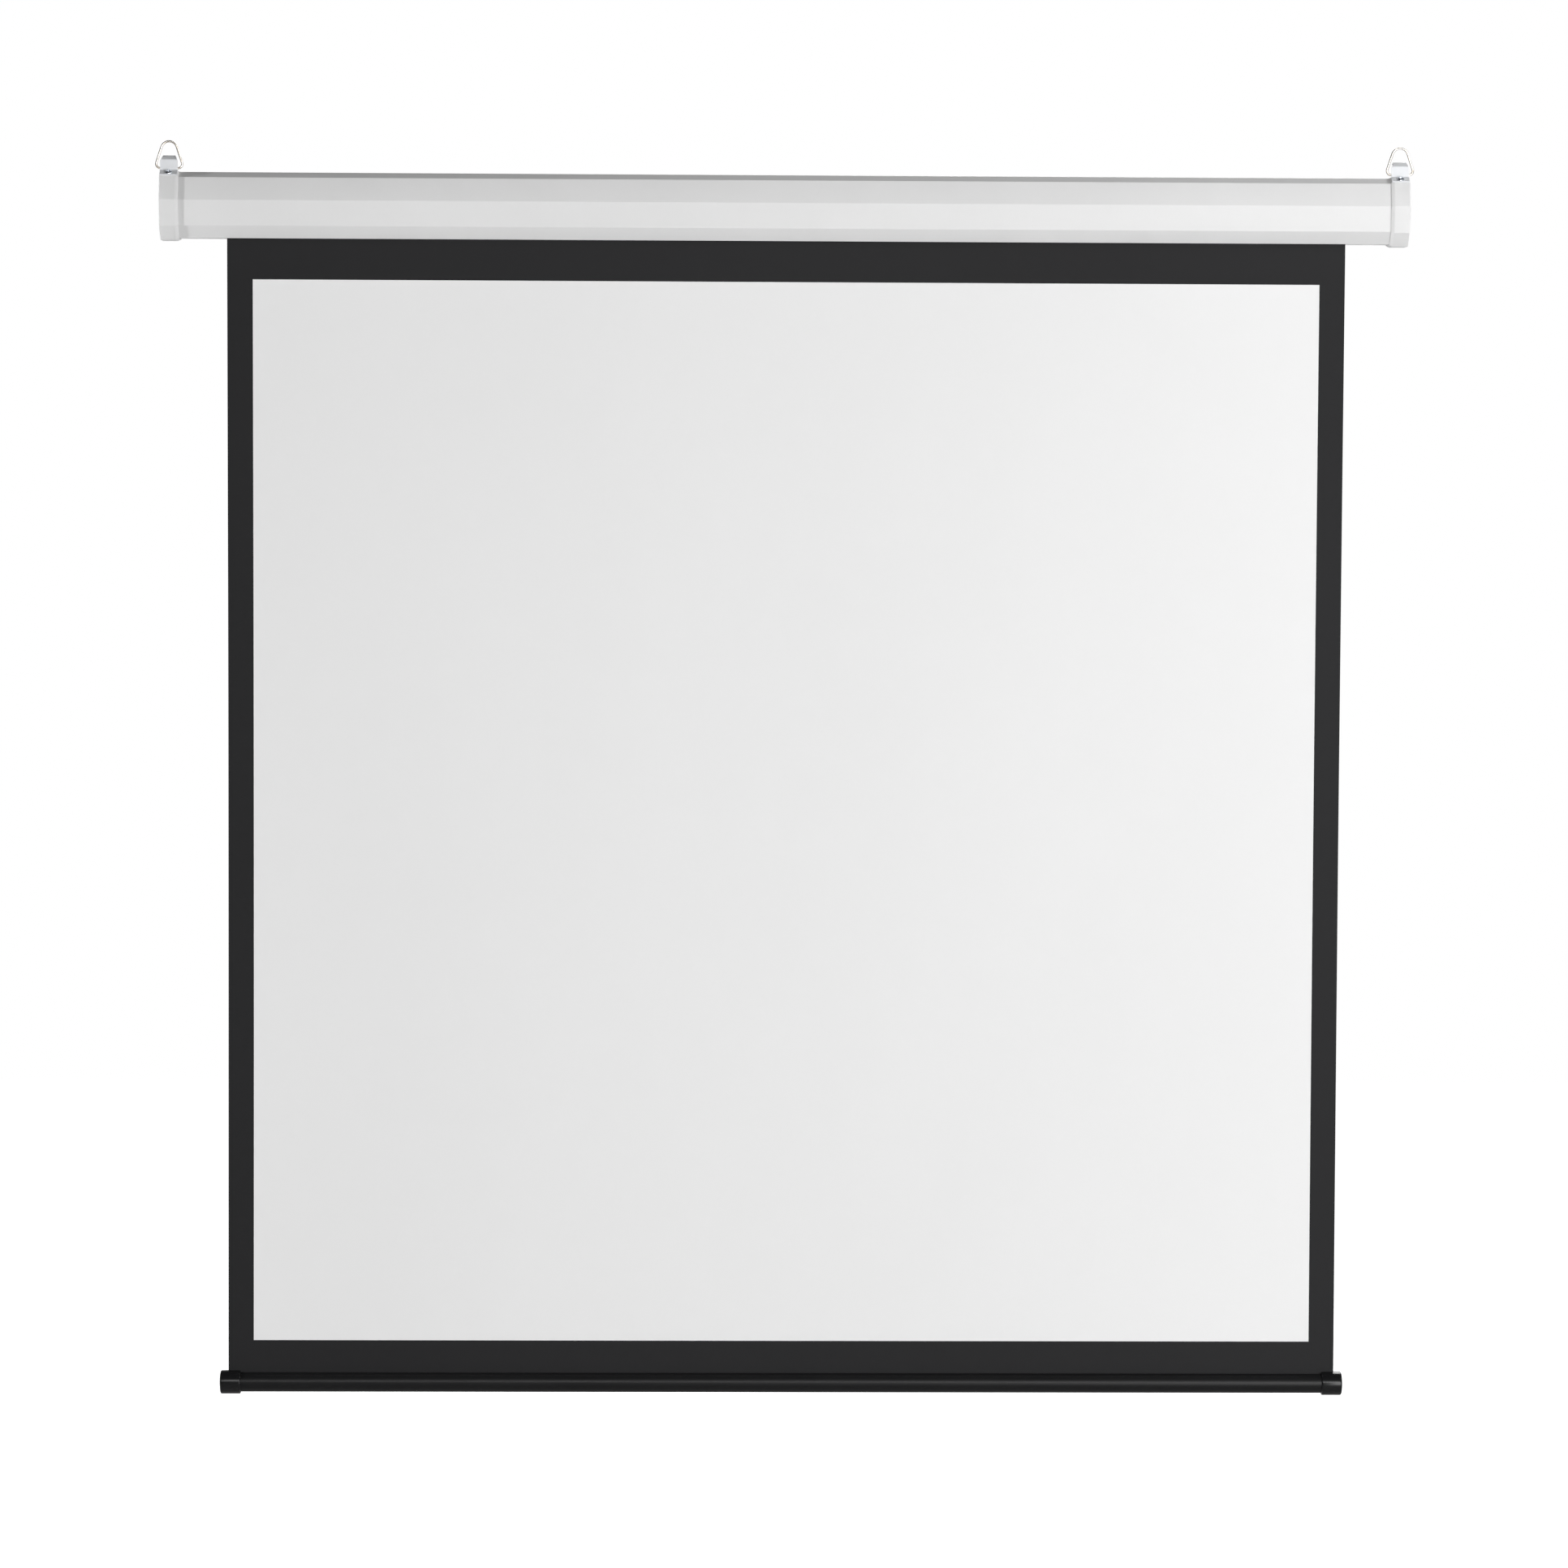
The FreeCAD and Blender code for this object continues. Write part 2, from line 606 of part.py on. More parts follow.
def make_pan_screw(body, prefix, head, dome, core, length):
    """Domed screw turned about its own +Z axis, with its head seated on Z = 0."""
    sketch = new_sketch(body, prefix + "_half", "XZ_Plane")
    bulge = "(%s*%s + %s*%s)/(2*%s)" % (head, head, dome, dome, dome)
    rim = FreeCAD.Vector(number(head), 0, 0)
    centre = FreeCAD.Vector(0, number("%s - %s" % (dome, bulge)), 0)
    start = math.atan2(rim.y - centre.y, rim.x - centre.x)
    circle = Part.Circle(centre, FreeCAD.Vector(0, 0, 1), number(bulge))
    arc = sketch.addGeometry(Part.ArcOfCircle(circle, start, math.pi/2), False)
    stops = [
        ("0", dome), ("0", "0 - " + length), (core, "0 - " + length), (core, "0"), (head, "0"),
    ]
    places = [FreeCAD.Vector(number(a), number(b), 0) for a, b in stops]
    lines = []
    for begin, finish in zip(places, places[1:]):
        lines.append(sketch.addGeometry(Part.LineSegment(begin, finish), False))
    for one, two in zip(lines, lines[1:]):
        sketch.addConstraint(Sketcher.Constraint("Coincident", one, 2, two, 1))
    sketch.addConstraint(Sketcher.Constraint("Coincident", arc, 2, lines[0], 1))
    sketch.addConstraint(Sketcher.Constraint("Coincident", arc, 1, lines[-1], 2))
    set_radius(sketch, arc, bulge)
    for line, (a, b) in zip(lines, stops):
        pin(sketch, "DistanceX", line, 1, a)
        pin(sketch, "DistanceY", line, 1, b)
    pin(sketch, "DistanceX", lines[-1], 2, head)
    pin(sketch, "DistanceY", lines[-1], 2, "0")
    feature = body.newObject("PartDesign::Revolution", prefix + "_turned")
    feature.Profile = sketch
    feature.ReferenceAxis = (sketch, ["V_Axis"])
    feature.Angle = 360


def group(label, members):
    """Several separate solids filed under one name."""
    compound = doc.addObject("Part::Compound", label)
    compound.Label = label
    compound.Links = members
    parts[label] = compound


def place_body(body, place, axis, angle):
    """Set where a body stands; axis is the direction it is turned about."""
    body.Placement = FreeCAD.Placement(FreeCAD.Vector(), FreeCAD.Rotation(FreeCAD.Vector(*axis), 1))
    body.setExpression("Placement.Rotation.Angle", q(angle + "*1 deg"))
    for letter, text in zip("xyz", place):
        body.setExpression("Placement.Base." + letter, q(text))


def make_strap_screws():
    """One pan-head screw through the foot of each strap."""
    members = []
    across, up = foot_point(SCREW_SHIFT, "strap_thickness")
    for name, side in (("left", -1), ("right", 1)):
        body = doc.addObject("PartDesign::Body", "strap_screw_" + name)
        make_pan_screw(body, "strap_screw_" + name, "strap_screw_head", "strap_screw_dome", "screw_core",
                       "strap_screw_length")
        place_body(body, ("%s*%s" % (side, CAP_CENTRE), across, up), (1, 0, 0), FOOT_UP)
        members.append(body)
    group("strap_screws", members)


def make_row_of_screws(label, side_places, seat, length, outward):
    """Pan-head screws along X: side_places lists the centres used at both ends."""
    members = []
    for name, side in (("left", -1), ("right", 1)):
        for count, (across, up) in enumerate(side_places, start=1):
            key = "%s_%s_%d" % (label, name, count)
            body = doc.addObject("PartDesign::Body", key)
            make_pan_screw(body, key, "screw_head_radius", "screw_head_height", "screw_core", length)
            turn = "90" if side*outward > 0 else "270"
            place_body(body, ("%d*%s" % (side, seat), across, up), (0, 1, 0), turn)
            members.append(body)
    group(label, members)


def make_bracket(label, side, centre_hole):
    """Steel plate on the cap's three stands, with a hole for the head's square or the bush."""
    body = new_body(label)
    screws = [(a, b, "screw_hole") for a, b in bracket_screw_places()]
    polygons = [case_section("0 - bracket_inset")]
    if centre_hole == "square":
        half = "(head_square/2 + press_gap)"
        polygons.append(rectangle("%s - %s" % (ROLLER_Y, half), "%s + %s" % (ROLLER_Y, half),
                                  "%s - %s" % (ROLLER_Z, half), "%s + %s" % (ROLLER_Z, half)))
    else:
        screws.append((ROLLER_Y, ROLLER_Z, centre_hole))
    side_pad(body, label + "_plate", side, BRACKET_NEAR, BRACKET_FAR, polygons, screws)


def on_axis(*radii):
    """Circles round the roller's axis."""
    return [(ROLLER_Y, ROLLER_Z, radius) for radius in radii]


def make_motor():
    """Fixed half of the tubular drive: head, tube, motor and gearbox."""
    spigot = "(motor_radius - motor_wall - press_gap)"
    head = new_body("motor_head")
    side_pad(head, "head_disc", -1, HEAD_INNER, BRACKET_NEAR, circles=on_axis("head_radius"))
    round_outer_edges(head, "head_edge", "0 - %s" % BRACKET_NEAR, "head_edge_round")
    side_pad(head, "head_spigot", -1, "(%s - head_spigot)" % HEAD_INNER, "(%s + overrun)" % HEAD_INNER,
             circles=on_axis(spigot))
    half = "head_square/2"
    square = rectangle("%s - %s" % (ROLLER_Y, half), "%s + %s" % (ROLLER_Y, half),
                       "%s - %s" % (ROLLER_Z, half), "%s + %s" % (ROLLER_Z, half))
    side_pad(head, "head_stub", -1, "(%s - overrun)" % BRACKET_NEAR, BRACKET_FAR, [square])
    tube_inner = "(%s - motor_length)" % HEAD_INNER
    tube = new_body("motor_tube")
    side_pad(tube, "motor_shell", -1, tube_inner, HEAD_INNER,
             circles=on_axis("motor_radius", "motor_radius - motor_wall"))
    gearbox = new_body("gearbox")
    gearbox_outer = "(%s + gearbox_length)" % tube_inner
    side_pad(gearbox, "gearbox_block", -1, tube_inner, gearbox_outer, circles=on_axis(spigot))
    side_pocket(gearbox, "gearbox_bore", -1, "(%s - overrun)" % tube_inner, "(%s + shaft_depth + press_gap)"
                % tube_inner, circles=on_axis("shaft_radius + running_gap"))
    core = new_body("motor_core")
    core_outer = "(%s - head_spigot - motor_wiring_room)" % HEAD_INNER
    side_pad(core, "core_block", -1, "(%s + press_gap)" % gearbox_outer, core_outer,
             circles=on_axis(spigot))
    return tube_inner


def make_roller(tube_inner):
    """Roller tube and all that turns with it."""
    motor_end = "(%s - roller_motor_end)" % CASE_END
    idler_end = "(%s - roller_idler_end)" % CASE_END
    inner = "(roller_radius - roller_wall)"
    fitted = "(roller_radius - roller_wall - press_gap)"
    tube = new_body("roller_tube")
    pad(tube, "roller_shell", "0 - %s" % motor_end, "%s + %s" % (motor_end, idler_end),
        circles=on_axis("roller_radius", inner))
    crown = new_body("crown_wheel")
    crown_bore = "(motor_radius + crown_running_gap)"
    side_pad(crown, "crown_ring", -1, "(%s - crown_length)" % motor_end, motor_end,
             circles=on_axis(fitted, crown_bore))
    side_pad(crown, "crown_flange_disc", -1, motor_end, "(%s + crown_flange)" % motor_end,
             circles=on_axis("roller_radius", crown_bore))
    shaft = new_body("output_shaft")
    side_pad(shaft, "shaft_rod", -1, "(%s - shaft_reach)" % tube_inner, "(%s + shaft_depth)" % tube_inner,
             circles=on_axis("shaft_radius"))
    wheel = new_body("drive_wheel")
    wheel_inner = "(%s - shaft_reach)" % tube_inner
    wheel_outer = "(%s + drive_wheel_length)" % wheel_inner
    bore = "shaft_radius + press_gap"
    rim = on_axis(fitted, "%s - drive_rim" % fitted)
    side_pad(wheel, "wheel_rim", -1, wheel_inner, wheel_outer, circles=rim)
    side_pad(wheel, "wheel_hub", -1, wheel_inner, wheel_outer, circles=on_axis("drive_hub", bore))
    side_pad(wheel, "wheel_web", -1, wheel_inner, "(%s + drive_web)" % wheel_inner,
             circles=on_axis("%s - drive_rim/2" % fitted, bore))
    plug = new_body("idler_plug")
    plug_inner = "(%s - idler_plug_length)" % idler_end
    side_pad(plug, "plug_rim", 1, plug_inner, idler_end, circles=on_axis(fitted, "%s - idler_rim" % fitted))
    side_pad(plug, "plug_hub", 1, plug_inner, idler_end, circles=on_axis("idler_hub", bore))
    side_pad(plug, "plug_web", 1, "(%s - idler_web)" % idler_end, "(%s + idler_plug_flange)" % idler_end,
             circles=on_axis(fitted, bore))
    side_pad(plug, "plug_flange", 1, idler_end, "(%s + idler_plug_flange)" % idler_end,
             circles=on_axis("roller_radius", bore))
    pin_body = new_body("idler_pin")
    side_pad(pin_body, "pin_rod", 1, plug_inner, "(%s + pin_overrun)" % BRACKET_FAR,
             circles=on_axis("shaft_radius"))
    bush = new_body("idler_bush")
    bush_bore = "shaft_radius + running_gap"
    side_pad(bush, "bush_sleeve", 1, BRACKET_NEAR, BRACKET_FAR, circles=on_axis("bush_radius", bush_bore))
    side_pad(bush, "bush_collar", 1, "(%s - bush_flange_length)" % BRACKET_NEAR, BRACKET_NEAR,
             circles=on_axis("bush_flange", bush_bore))
    wraps = new_body("wound_sheet")
    pad(wraps, "wound_layers", SHEET_LEFT, SHEET_WIDTH,
        circles=on_axis(WOUND_RADIUS, "roller_radius + press_gap"))


def make_grommet():
    """Rubber grommet of the cable inlet, gripping the cap's end wall."""
    body = new_body("cable_grommet")
    centre = ("%s + inlet_back" % CASE_Y, "%s + inlet_rise" % CASE_Z)
    inner = "(%s - inlet_flange_length)" % CAP_INNER_FACE
    outer = "(%s + inlet_flange_length)" % CAP_OUTER_FACE
    neck = [centre + ("inlet_neck",), centre + ("inlet_bore",)]
    side_pad(body, "grommet_neck", -1, inner, outer, circles=neck)
    for name, low, high in (("inner", inner, CAP_INNER_FACE), ("outer", CAP_OUTER_FACE, outer)):
        side_pad(body, "grommet_" + name, -1, low, high,
                 circles=[centre + ("inlet_flange",), centre + ("inlet_bore",)])


def make_hanging_sheet():
    """The sheet between the roller and the hem band: black backing and white facing."""
    backing_front = "(%s - backing_thickness)" % SHEET_BACK
    backing = new_body("sheet_backing")
    strip = rectangle(backing_front, SHEET_BACK, PICTURE_FOOT, ROLLER_Z)
    pad(backing, "backing_strip", SHEET_LEFT, SHEET_WIDTH, [strip])
    facing = new_body("white_facing")
    strip = rectangle(SHEET_FRONT, backing_front, PICTURE_FOOT, PICTURE_TOP)
    left = "(sheet_offset - %s/2)" % PICTURE_WIDTH
    pad(facing, "facing_strip", left, PICTURE_WIDTH, [strip])


def make_bottom_bar():
    """Tube with a keyhole channel, end cups, hem rod and the hem band round it."""
    half = "(%s/2)" % BAR_LENGTH
    left = "sheet_offset - %s + bar_cap_end" % half
    length = "%s - 2*bar_cap_end" % BAR_LENGTH
    channel_outer = "(%s + channel_wall)" % CHANNEL_BORE
    tube = new_body("bottom_tube")
    pad(tube, "bar_shell", left, length,
        circles=[(SHEET_MIDDLE, BAR_Z, "bar_radius"), (SHEET_MIDDLE, BAR_Z, "bar_radius - bar_wall")])
    pad(tube, "bar_channel", left, length,
        circles=[(SHEET_MIDDLE, CHANNEL_Z, channel_outer), (SHEET_MIDDLE, CHANNEL_Z, CHANNEL_BORE)])
    clear = [(SHEET_MIDDLE, CHANNEL_Z, CHANNEL_BORE)]
    pocket(tube, "bar_bore", "%s - overrun" % left, "%s + 2*overrun" % length, circles=clear)
    mouth = rectangle("%s - hem_slot/2" % SHEET_MIDDLE, "%s + hem_slot/2" % SHEET_MIDDLE,
                      CHANNEL_Z, "%s + bar_radius + overrun" % BAR_Z)
    pocket(tube, "bar_mouth", "%s - overrun" % left, "%s + 2*overrun" % length, [mouth])
    for label, side in (("left_bar_cap", -1), ("right_bar_cap", 1)):
        make_bar_cap(label, side, half)
    rod_body = new_body("hem_rod")
    rod_left = "(%s + hem_rod_inset)" % SHEET_LEFT
    rod_length = "(%s - 2*hem_rod_inset)" % SHEET_WIDTH
    round_rod = [(SHEET_MIDDLE, CHANNEL_Z, "hem_rod_radius")]
    pad(rod_body, "hem_rod_round", rod_left, rod_length, circles=round_rod)
    band = new_body("hem_band")
    loop_middle = "(%s + %s - %s/2)" % (CHANNEL_Z, HEM_LOOP, SHEET_THICKNESS)
    strip = rectangle(SHEET_FRONT, SHEET_BACK, loop_middle, PICTURE_FOOT)
    pad(band, "hem_strip", SHEET_LEFT, SHEET_WIDTH, [strip])
    pad(band, "hem_loop", SHEET_LEFT, SHEET_WIDTH,
        circles=[(SHEET_MIDDLE, CHANNEL_Z, HEM_LOOP), (SHEET_MIDDLE, CHANNEL_Z, "hem_rod_radius + hem_gap")])


def turn_domed_rod(body, name, side, stations, radius):
    """Rod along the bar's axis with a domed end; stations are its foot, its shoulder and its tip."""
    foot, shoulder, tip = ("(%d)*%s" % (side, station) for station in stations)
    rise = "(%s - %s)" % (stations[2], stations[1])
    bulge = "(((%s)*(%s) + %s*%s)/(2*%s))" % (radius, radius, rise, rise, rise)
    edge = "%s + %s" % (BAR_Z, radius)
    sketch = new_sketch(body, name + "_half", "XZ_Plane", "0 - %s" % SHEET_MIDDLE)
    centre = FreeCAD.Vector(number("%s - (%d)*%s" % (tip, side, bulge)), number(BAR_Z), 0)
    reach = math.asin(number(radius)/number(bulge))
    begin, finish = (0, reach) if side > 0 else (math.pi - reach, math.pi)
    circle = Part.Circle(centre, FreeCAD.Vector(0, 0, 1), number(bulge))
    dome = sketch.addGeometry(Part.ArcOfCircle(circle, begin, finish), False)
    stops = [(tip, BAR_Z), (foot, BAR_Z), (foot, edge), (shoulder, edge)]
    places = [FreeCAD.Vector(number(a), number(b), 0) for a, b in stops]
    lines = []
    for one, two in zip(places, places[1:]):
        lines.append(sketch.addGeometry(Part.LineSegment(one, two), False))
    for one, two in zip(lines, lines[1:]):
        sketch.addConstraint(Sketcher.Constraint("Coincident", one, 2, two, 1))
    at_tip, at_edge = (1, 2) if side > 0 else (2, 1)
    sketch.addConstraint(Sketcher.Constraint("Coincident", dome, at_tip, lines[0], 1))
    sketch.addConstraint(Sketcher.Constraint("Coincident", dome, at_edge, lines[-1], 2))
    set_radius(sketch, dome, bulge)
    for line, (a, b) in zip(lines, stops):
        pin(sketch, "DistanceX", line, 1, a)
        pin(sketch, "DistanceY", line, 1, b)
    pin(sketch, "DistanceX", lines[-1], 2, shoulder)
    pin(sketch, "DistanceY", lines[-1], 2, edge)
    axis = sketch.addGeometry(Part.LineSegment(places[0], places[1]), True)
    for point, place in ((1, tip), (2, foot)):
        pin(sketch, "DistanceX", axis, point, place)
        pin(sketch, "DistanceY", axis, point, BAR_Z)
    feature = body.newObject("PartDesign::Revolution", name)
    feature.Profile = sketch
    feature.ReferenceAxis = (sketch, ["Axis0"])
    feature.Angle = 360


def make_bar_cap(label, side, half):
    """Cup with a domed end over the end of the bottom bar, slotted to let the hem through."""
    body = new_body(label)
    outer = "(%s + (%d)*sheet_offset)" % (half, side)
    inner = "(%s - bar_cap_length)" % outer
    rim = "(%s - bar_cap_dome)" % outer
    turn_domed_rod(body, label + "_cup", side, (inner, rim, outer), "bar_cap_radius")
    round_outer_edges(body, label + "_edge", "%d*%s" % (side, rim), "bar_cap_round")
    mouth = "(%s - overrun)" % inner
    bottom = "(%s - bar_cap_end + bar_cap_gap)" % outer
    bore = [(SHEET_MIDDLE, BAR_Z, "bar_radius + bar_cap_gap")]
    side_pocket(body, label + "_bore", side, mouth, bottom, circles=bore)
    slot = rectangle("%s - bar_cap_slot/2" % SHEET_MIDDLE, "%s + bar_cap_slot/2" % SHEET_MIDDLE,
                     BAR_Z, "%s + bar_cap_radius + overrun" % BAR_Z)
    side_pocket(body, label + "_slot", side, mouth, "(%s + bar_cap_slot_depth)" % inner, [slot])


def make_ring(label, side):
    """Wire triangle with round corners, upright, hinged on its straight bottom wire."""
    body = new_body(label)
    foot_half = "(ring_width/2 - ring_wire/2 - ring_corner_bend)"
    crown_up = "(ring_height - ring_wire - ring_top_bend)"
    rise = "(%s - ring_corner_bend)" % crown_up
    lean = "atan(%s/%s)" % (foot_half, rise)
    gap = "sqrt(%s*%s + %s*%s)" % (foot_half, foot_half, rise, rise)
    slope = "(%s - asin((ring_top_bend - ring_corner_bend)/%s))" % (lean, gap)
    corner_out = "(%s + ring_corner_bend*cos(%s))" % (foot_half, slope)
    corner_up = "(ring_corner_bend + ring_corner_bend*sin(%s))" % slope
    top_out = "(ring_top_bend*cos(%s))" % slope
    top_up = "(%s + ring_top_bend*sin(%s))" % (crown_up, slope)
    path = new_sketch(body, label + "_path", "XZ_Plane")
    stops = [
        ("0 - %s" % foot_half, "0"), (foot_half, "0"), (corner_out, corner_up), (top_out, top_up),
        ("0 - %s" % top_out, top_up), ("0 - %s" % corner_out, corner_up),
    ]
    spots = [FreeCAD.Vector(number(a), number(b), 0) for a, b in stops]
    tilt = math.radians(number("%s/1 deg" % slope))
    bend = number("ring_corner_bend")
    crown = number("ring_top_bend")

    def arc(centre_x, centre_y, radius, begin, finish):
        circle = Part.Circle(FreeCAD.Vector(centre_x, centre_y, 0), FreeCAD.Vector(0, 0, 1), radius)
        return path.addGeometry(Part.ArcOfCircle(circle, begin, finish), False)

    base = path.addGeometry(Part.LineSegment(spots[0], spots[1]), False)
    right_bend = arc(number(foot_half), bend, bend, -math.pi/2, tilt)
    right_leg = path.addGeometry(Part.LineSegment(spots[2], spots[3]), False)
    crown_arc = arc(0, number(crown_up), crown, tilt, math.pi - tilt)
    left_leg = path.addGeometry(Part.LineSegment(spots[4], spots[5]), False)
    left_bend = arc(-number(foot_half), bend, bend, math.pi - tilt, 1.5*math.pi)
    chain = [base, right_bend, right_leg, crown_arc, left_leg, left_bend]
    for one, two in zip(chain, chain[1:] + chain[:1]):
        path.addConstraint(Sketcher.Constraint("Coincident", one, 2, two, 1))
    for line, begin, finish in ((base, 0, 1), (right_leg, 2, 3), (left_leg, 4, 5)):
        for point, index in ((1, begin), (2, finish)):
            pin(path, "DistanceX", line, point, stops[index][0])
            pin(path, "DistanceY", line, point, stops[index][1])
    set_radius(path, right_bend, "ring_corner_bend")
    set_radius(path, left_bend, "ring_corner_bend")
    set_radius(path, crown_arc, "ring_top_bend")
    wire = [("0", "0", "ring_wire/2")]
    section = outline(body, label + "_section", "YZ_Plane", "0 - %s" % foot_half, circles=wire)
    pipe = body.newObject("PartDesign::AdditivePipe", label + "_wire")
    pipe.Profile = section
    pipe.Spine = path
    for letter, text in zip("xyz", ("%d*%s" % (side, CAP_CENTRE), "0 - ring_forward", RING_Z)):
        body.setExpression("Placement.Base." + letter, q(text))


def check_document():
    """Stop if any object failed or any piece is empty or faulty."""
    for item in doc.Objects:
        if "Invalid" in item.State or "Error" in item.State:
            raise RuntimeError("%s failed: %s" % (item.Name, item.State))
    for label, piece in parts.items():
        if piece.Shape.isNull() or not piece.Shape.isValid() or not piece.Shape.Solids:
            raise RuntimeError("%s has no sound shape" % label)


def main():
    """Build every piece, check it and write it out."""
    make_case()
    for name, side in (("left", -1), ("right", 1)):
        make_end_cap(name + "_end_cap", side)
        make_strap(name + "_hanger_strap", side)
        make_ring(name + "_ring", side)
    make_strap_screws()
    seat = "(%s - screw_head_height)" % CAP_OUTER_FACE
    make_row_of_screws("cap_screws", port_centres(), seat, "screw_length", 1)
    make_row_of_screws("bracket_screws", bracket_screw_places(), BRACKET_NEAR, "bracket_screw_length", -1)
    make_bracket("motor_bracket", -1, "square")
    make_bracket("idler_bracket", 1, "bush_radius + press_gap")
    make_roller(make_motor())
    make_grommet()
    make_hanging_sheet()
    make_bottom_bar()
    doc.recompute()
    check_document()
    os.makedirs("parts", exist_ok=True)
    for label, piece in sorted(parts.items()):
        piece.Shape.exportStep("parts/%s.step" % label)
        box = piece.Shape.BoundBox
        print("%-20s %2d solid(s) %12.1f mm3  x %8.1f %8.1f  y %7.1f %7.1f  z %8.1f %8.1f" % (
            label, len(piece.Shape.Solids), piece.Shape.Volume,
            box.XMin, box.XMax, box.YMin, box.YMax, box.ZMin, box.ZMax))


main()
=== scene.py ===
"""Dressed model of a motorised projection screen, hanging at full drop.

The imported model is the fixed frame. Each class below stands for one sub-assembly of the
screen. Lengths are metres: +X is to the viewer's right, +Y points to the wall, +Z is up.
"""

import logging
import math
from collections.abc import Callable, Iterable, Sequence
from dataclasses import dataclass
from enum import Enum

import bmesh
import bpy
from mathutils import Matrix, Vector


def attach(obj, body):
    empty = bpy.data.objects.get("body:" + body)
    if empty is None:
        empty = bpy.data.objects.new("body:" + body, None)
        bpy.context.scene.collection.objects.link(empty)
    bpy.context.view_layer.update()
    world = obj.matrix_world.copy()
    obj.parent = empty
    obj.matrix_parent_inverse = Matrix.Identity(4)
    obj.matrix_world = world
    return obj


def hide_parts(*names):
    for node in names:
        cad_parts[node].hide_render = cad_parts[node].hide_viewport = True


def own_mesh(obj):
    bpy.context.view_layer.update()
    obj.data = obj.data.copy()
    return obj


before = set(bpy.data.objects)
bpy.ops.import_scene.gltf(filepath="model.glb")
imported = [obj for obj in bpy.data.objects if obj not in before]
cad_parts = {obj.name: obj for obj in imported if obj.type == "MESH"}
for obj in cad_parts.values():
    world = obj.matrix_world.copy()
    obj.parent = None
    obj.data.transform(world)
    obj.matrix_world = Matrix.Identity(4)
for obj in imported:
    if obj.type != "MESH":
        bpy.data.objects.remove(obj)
log = logging.getLogger("projection_screen")

Pair = tuple[float, float]
Triple = tuple[float, float, float]
Tint = tuple[float, float, float, float]
Ring = Sequence[bmesh.types.BMVert]

# A wave texture of scale 1 repeats once in this many metres.
WAVE_PITCH = 0.314


class Axis(Enum):
    """A direction of the shared frame, under Blender's name for it."""

    X = "X"
    Y = "Y"
    Z = "Z"


class End(Enum):
    """The two ends of the screen, each with the sign of X there."""

    LEFT = -1.0
    RIGHT = 1.0

    @property
    def label(self) -> str:
        """The word that starts the names of pieces at this end."""
        return self.name.lower()


# Node graphs


class Signal:
    """One output of a node, usable in Python expressions."""

    def __init__(self, graph: "Graph", socket: bpy.types.NodeSocket) -> None:
        """Wraps an output of a node of the graph."""
        self.graph = graph
        self.socket = socket

    def math(self, operation: str, *values: "Signal | float") -> "Signal":
        """Result of a Math node with this operation and these inputs."""
        inputs = dict(enumerate(values))
        return self.graph.node("ShaderNodeMath", {"operation": operation}, inputs).out()

    def __add__(self, other: "Signal | float") -> "Signal":
        """self + other."""
        return self.math("ADD", self, other)

    def __radd__(self, other: float) -> "Signal":
        """other + self."""
        return self.math("ADD", other, self)

    def __sub__(self, other: "Signal | float") -> "Signal":
        """self - other."""
        return self.math("SUBTRACT", self, other)

    def __rsub__(self, other: float) -> "Signal":
        """other - self."""
        return self.math("SUBTRACT", other, self)

    def __mul__(self, other: "Signal | float") -> "Signal":
        """self * other."""
        return self.math("MULTIPLY", self, other)

    def __rmul__(self, other: float) -> "Signal":
        """other * self."""
        return self.math("MULTIPLY", other, self)

    def __truediv__(self, other: "Signal | float") -> "Signal":
        """self / other."""
        return self.math("DIVIDE", self, other)

    def __rtruediv__(self, other: float) -> "Signal":
        """other / self."""
        return self.math("DIVIDE", other, self)

    def __pow__(self, other: "Signal | float") -> "Signal":
        """self to the power of other."""
        return self.math("POWER", self, other)

    def above(self, limit: float) -> "Signal":
        """1 where the signal is over the limit and 0 elsewhere."""
        return self.math("GREATER_THAN", self, limit)

    def clipped(self) -> "Signal":
        """The signal, kept between 0 and 1."""
        return self.math("MINIMUM", self.math("MAXIMUM", self, 0.0), 1.0)

    def spread(self, gain: float) -> "Signal":
        """The signal stretched about one half and kept between 0 and 1."""
        return (self * gain + (0.5 - gain / 2)).clipped()


Value = Signal | float | int | bool | Sequence[float] | None


class Made:
    """A node that has been added, with its outputs at hand."""

    def __init__(self, graph: "Graph", node: bpy.types.Node) -> None:
        """Wraps a node of the graph."""
        self.graph = graph
        self.node = node

    def out(self, key: str | int = 0) -> Signal:
        """One output, by its identifier, name or position."""
        return Signal(self.graph, find_socket(self.node.outputs, key))


def find_socket(sockets: Iterable[bpy.types.NodeSocket], key: str | int) -> bpy.types.NodeSocket:
    """Finds a socket.

    Args:
        sockets: A node's inputs or outputs.
        key: The socket's identifier, name or position.

    Returns:
        The socket, with an identifier preferred to a name.
    """
    rows = list(sockets)
    if isinstance(key, int):
        return rows[key]
    for row in rows:
        if row.identifier == key:
            return row
    return next(row for row in rows if row.name == key and row.enabled)


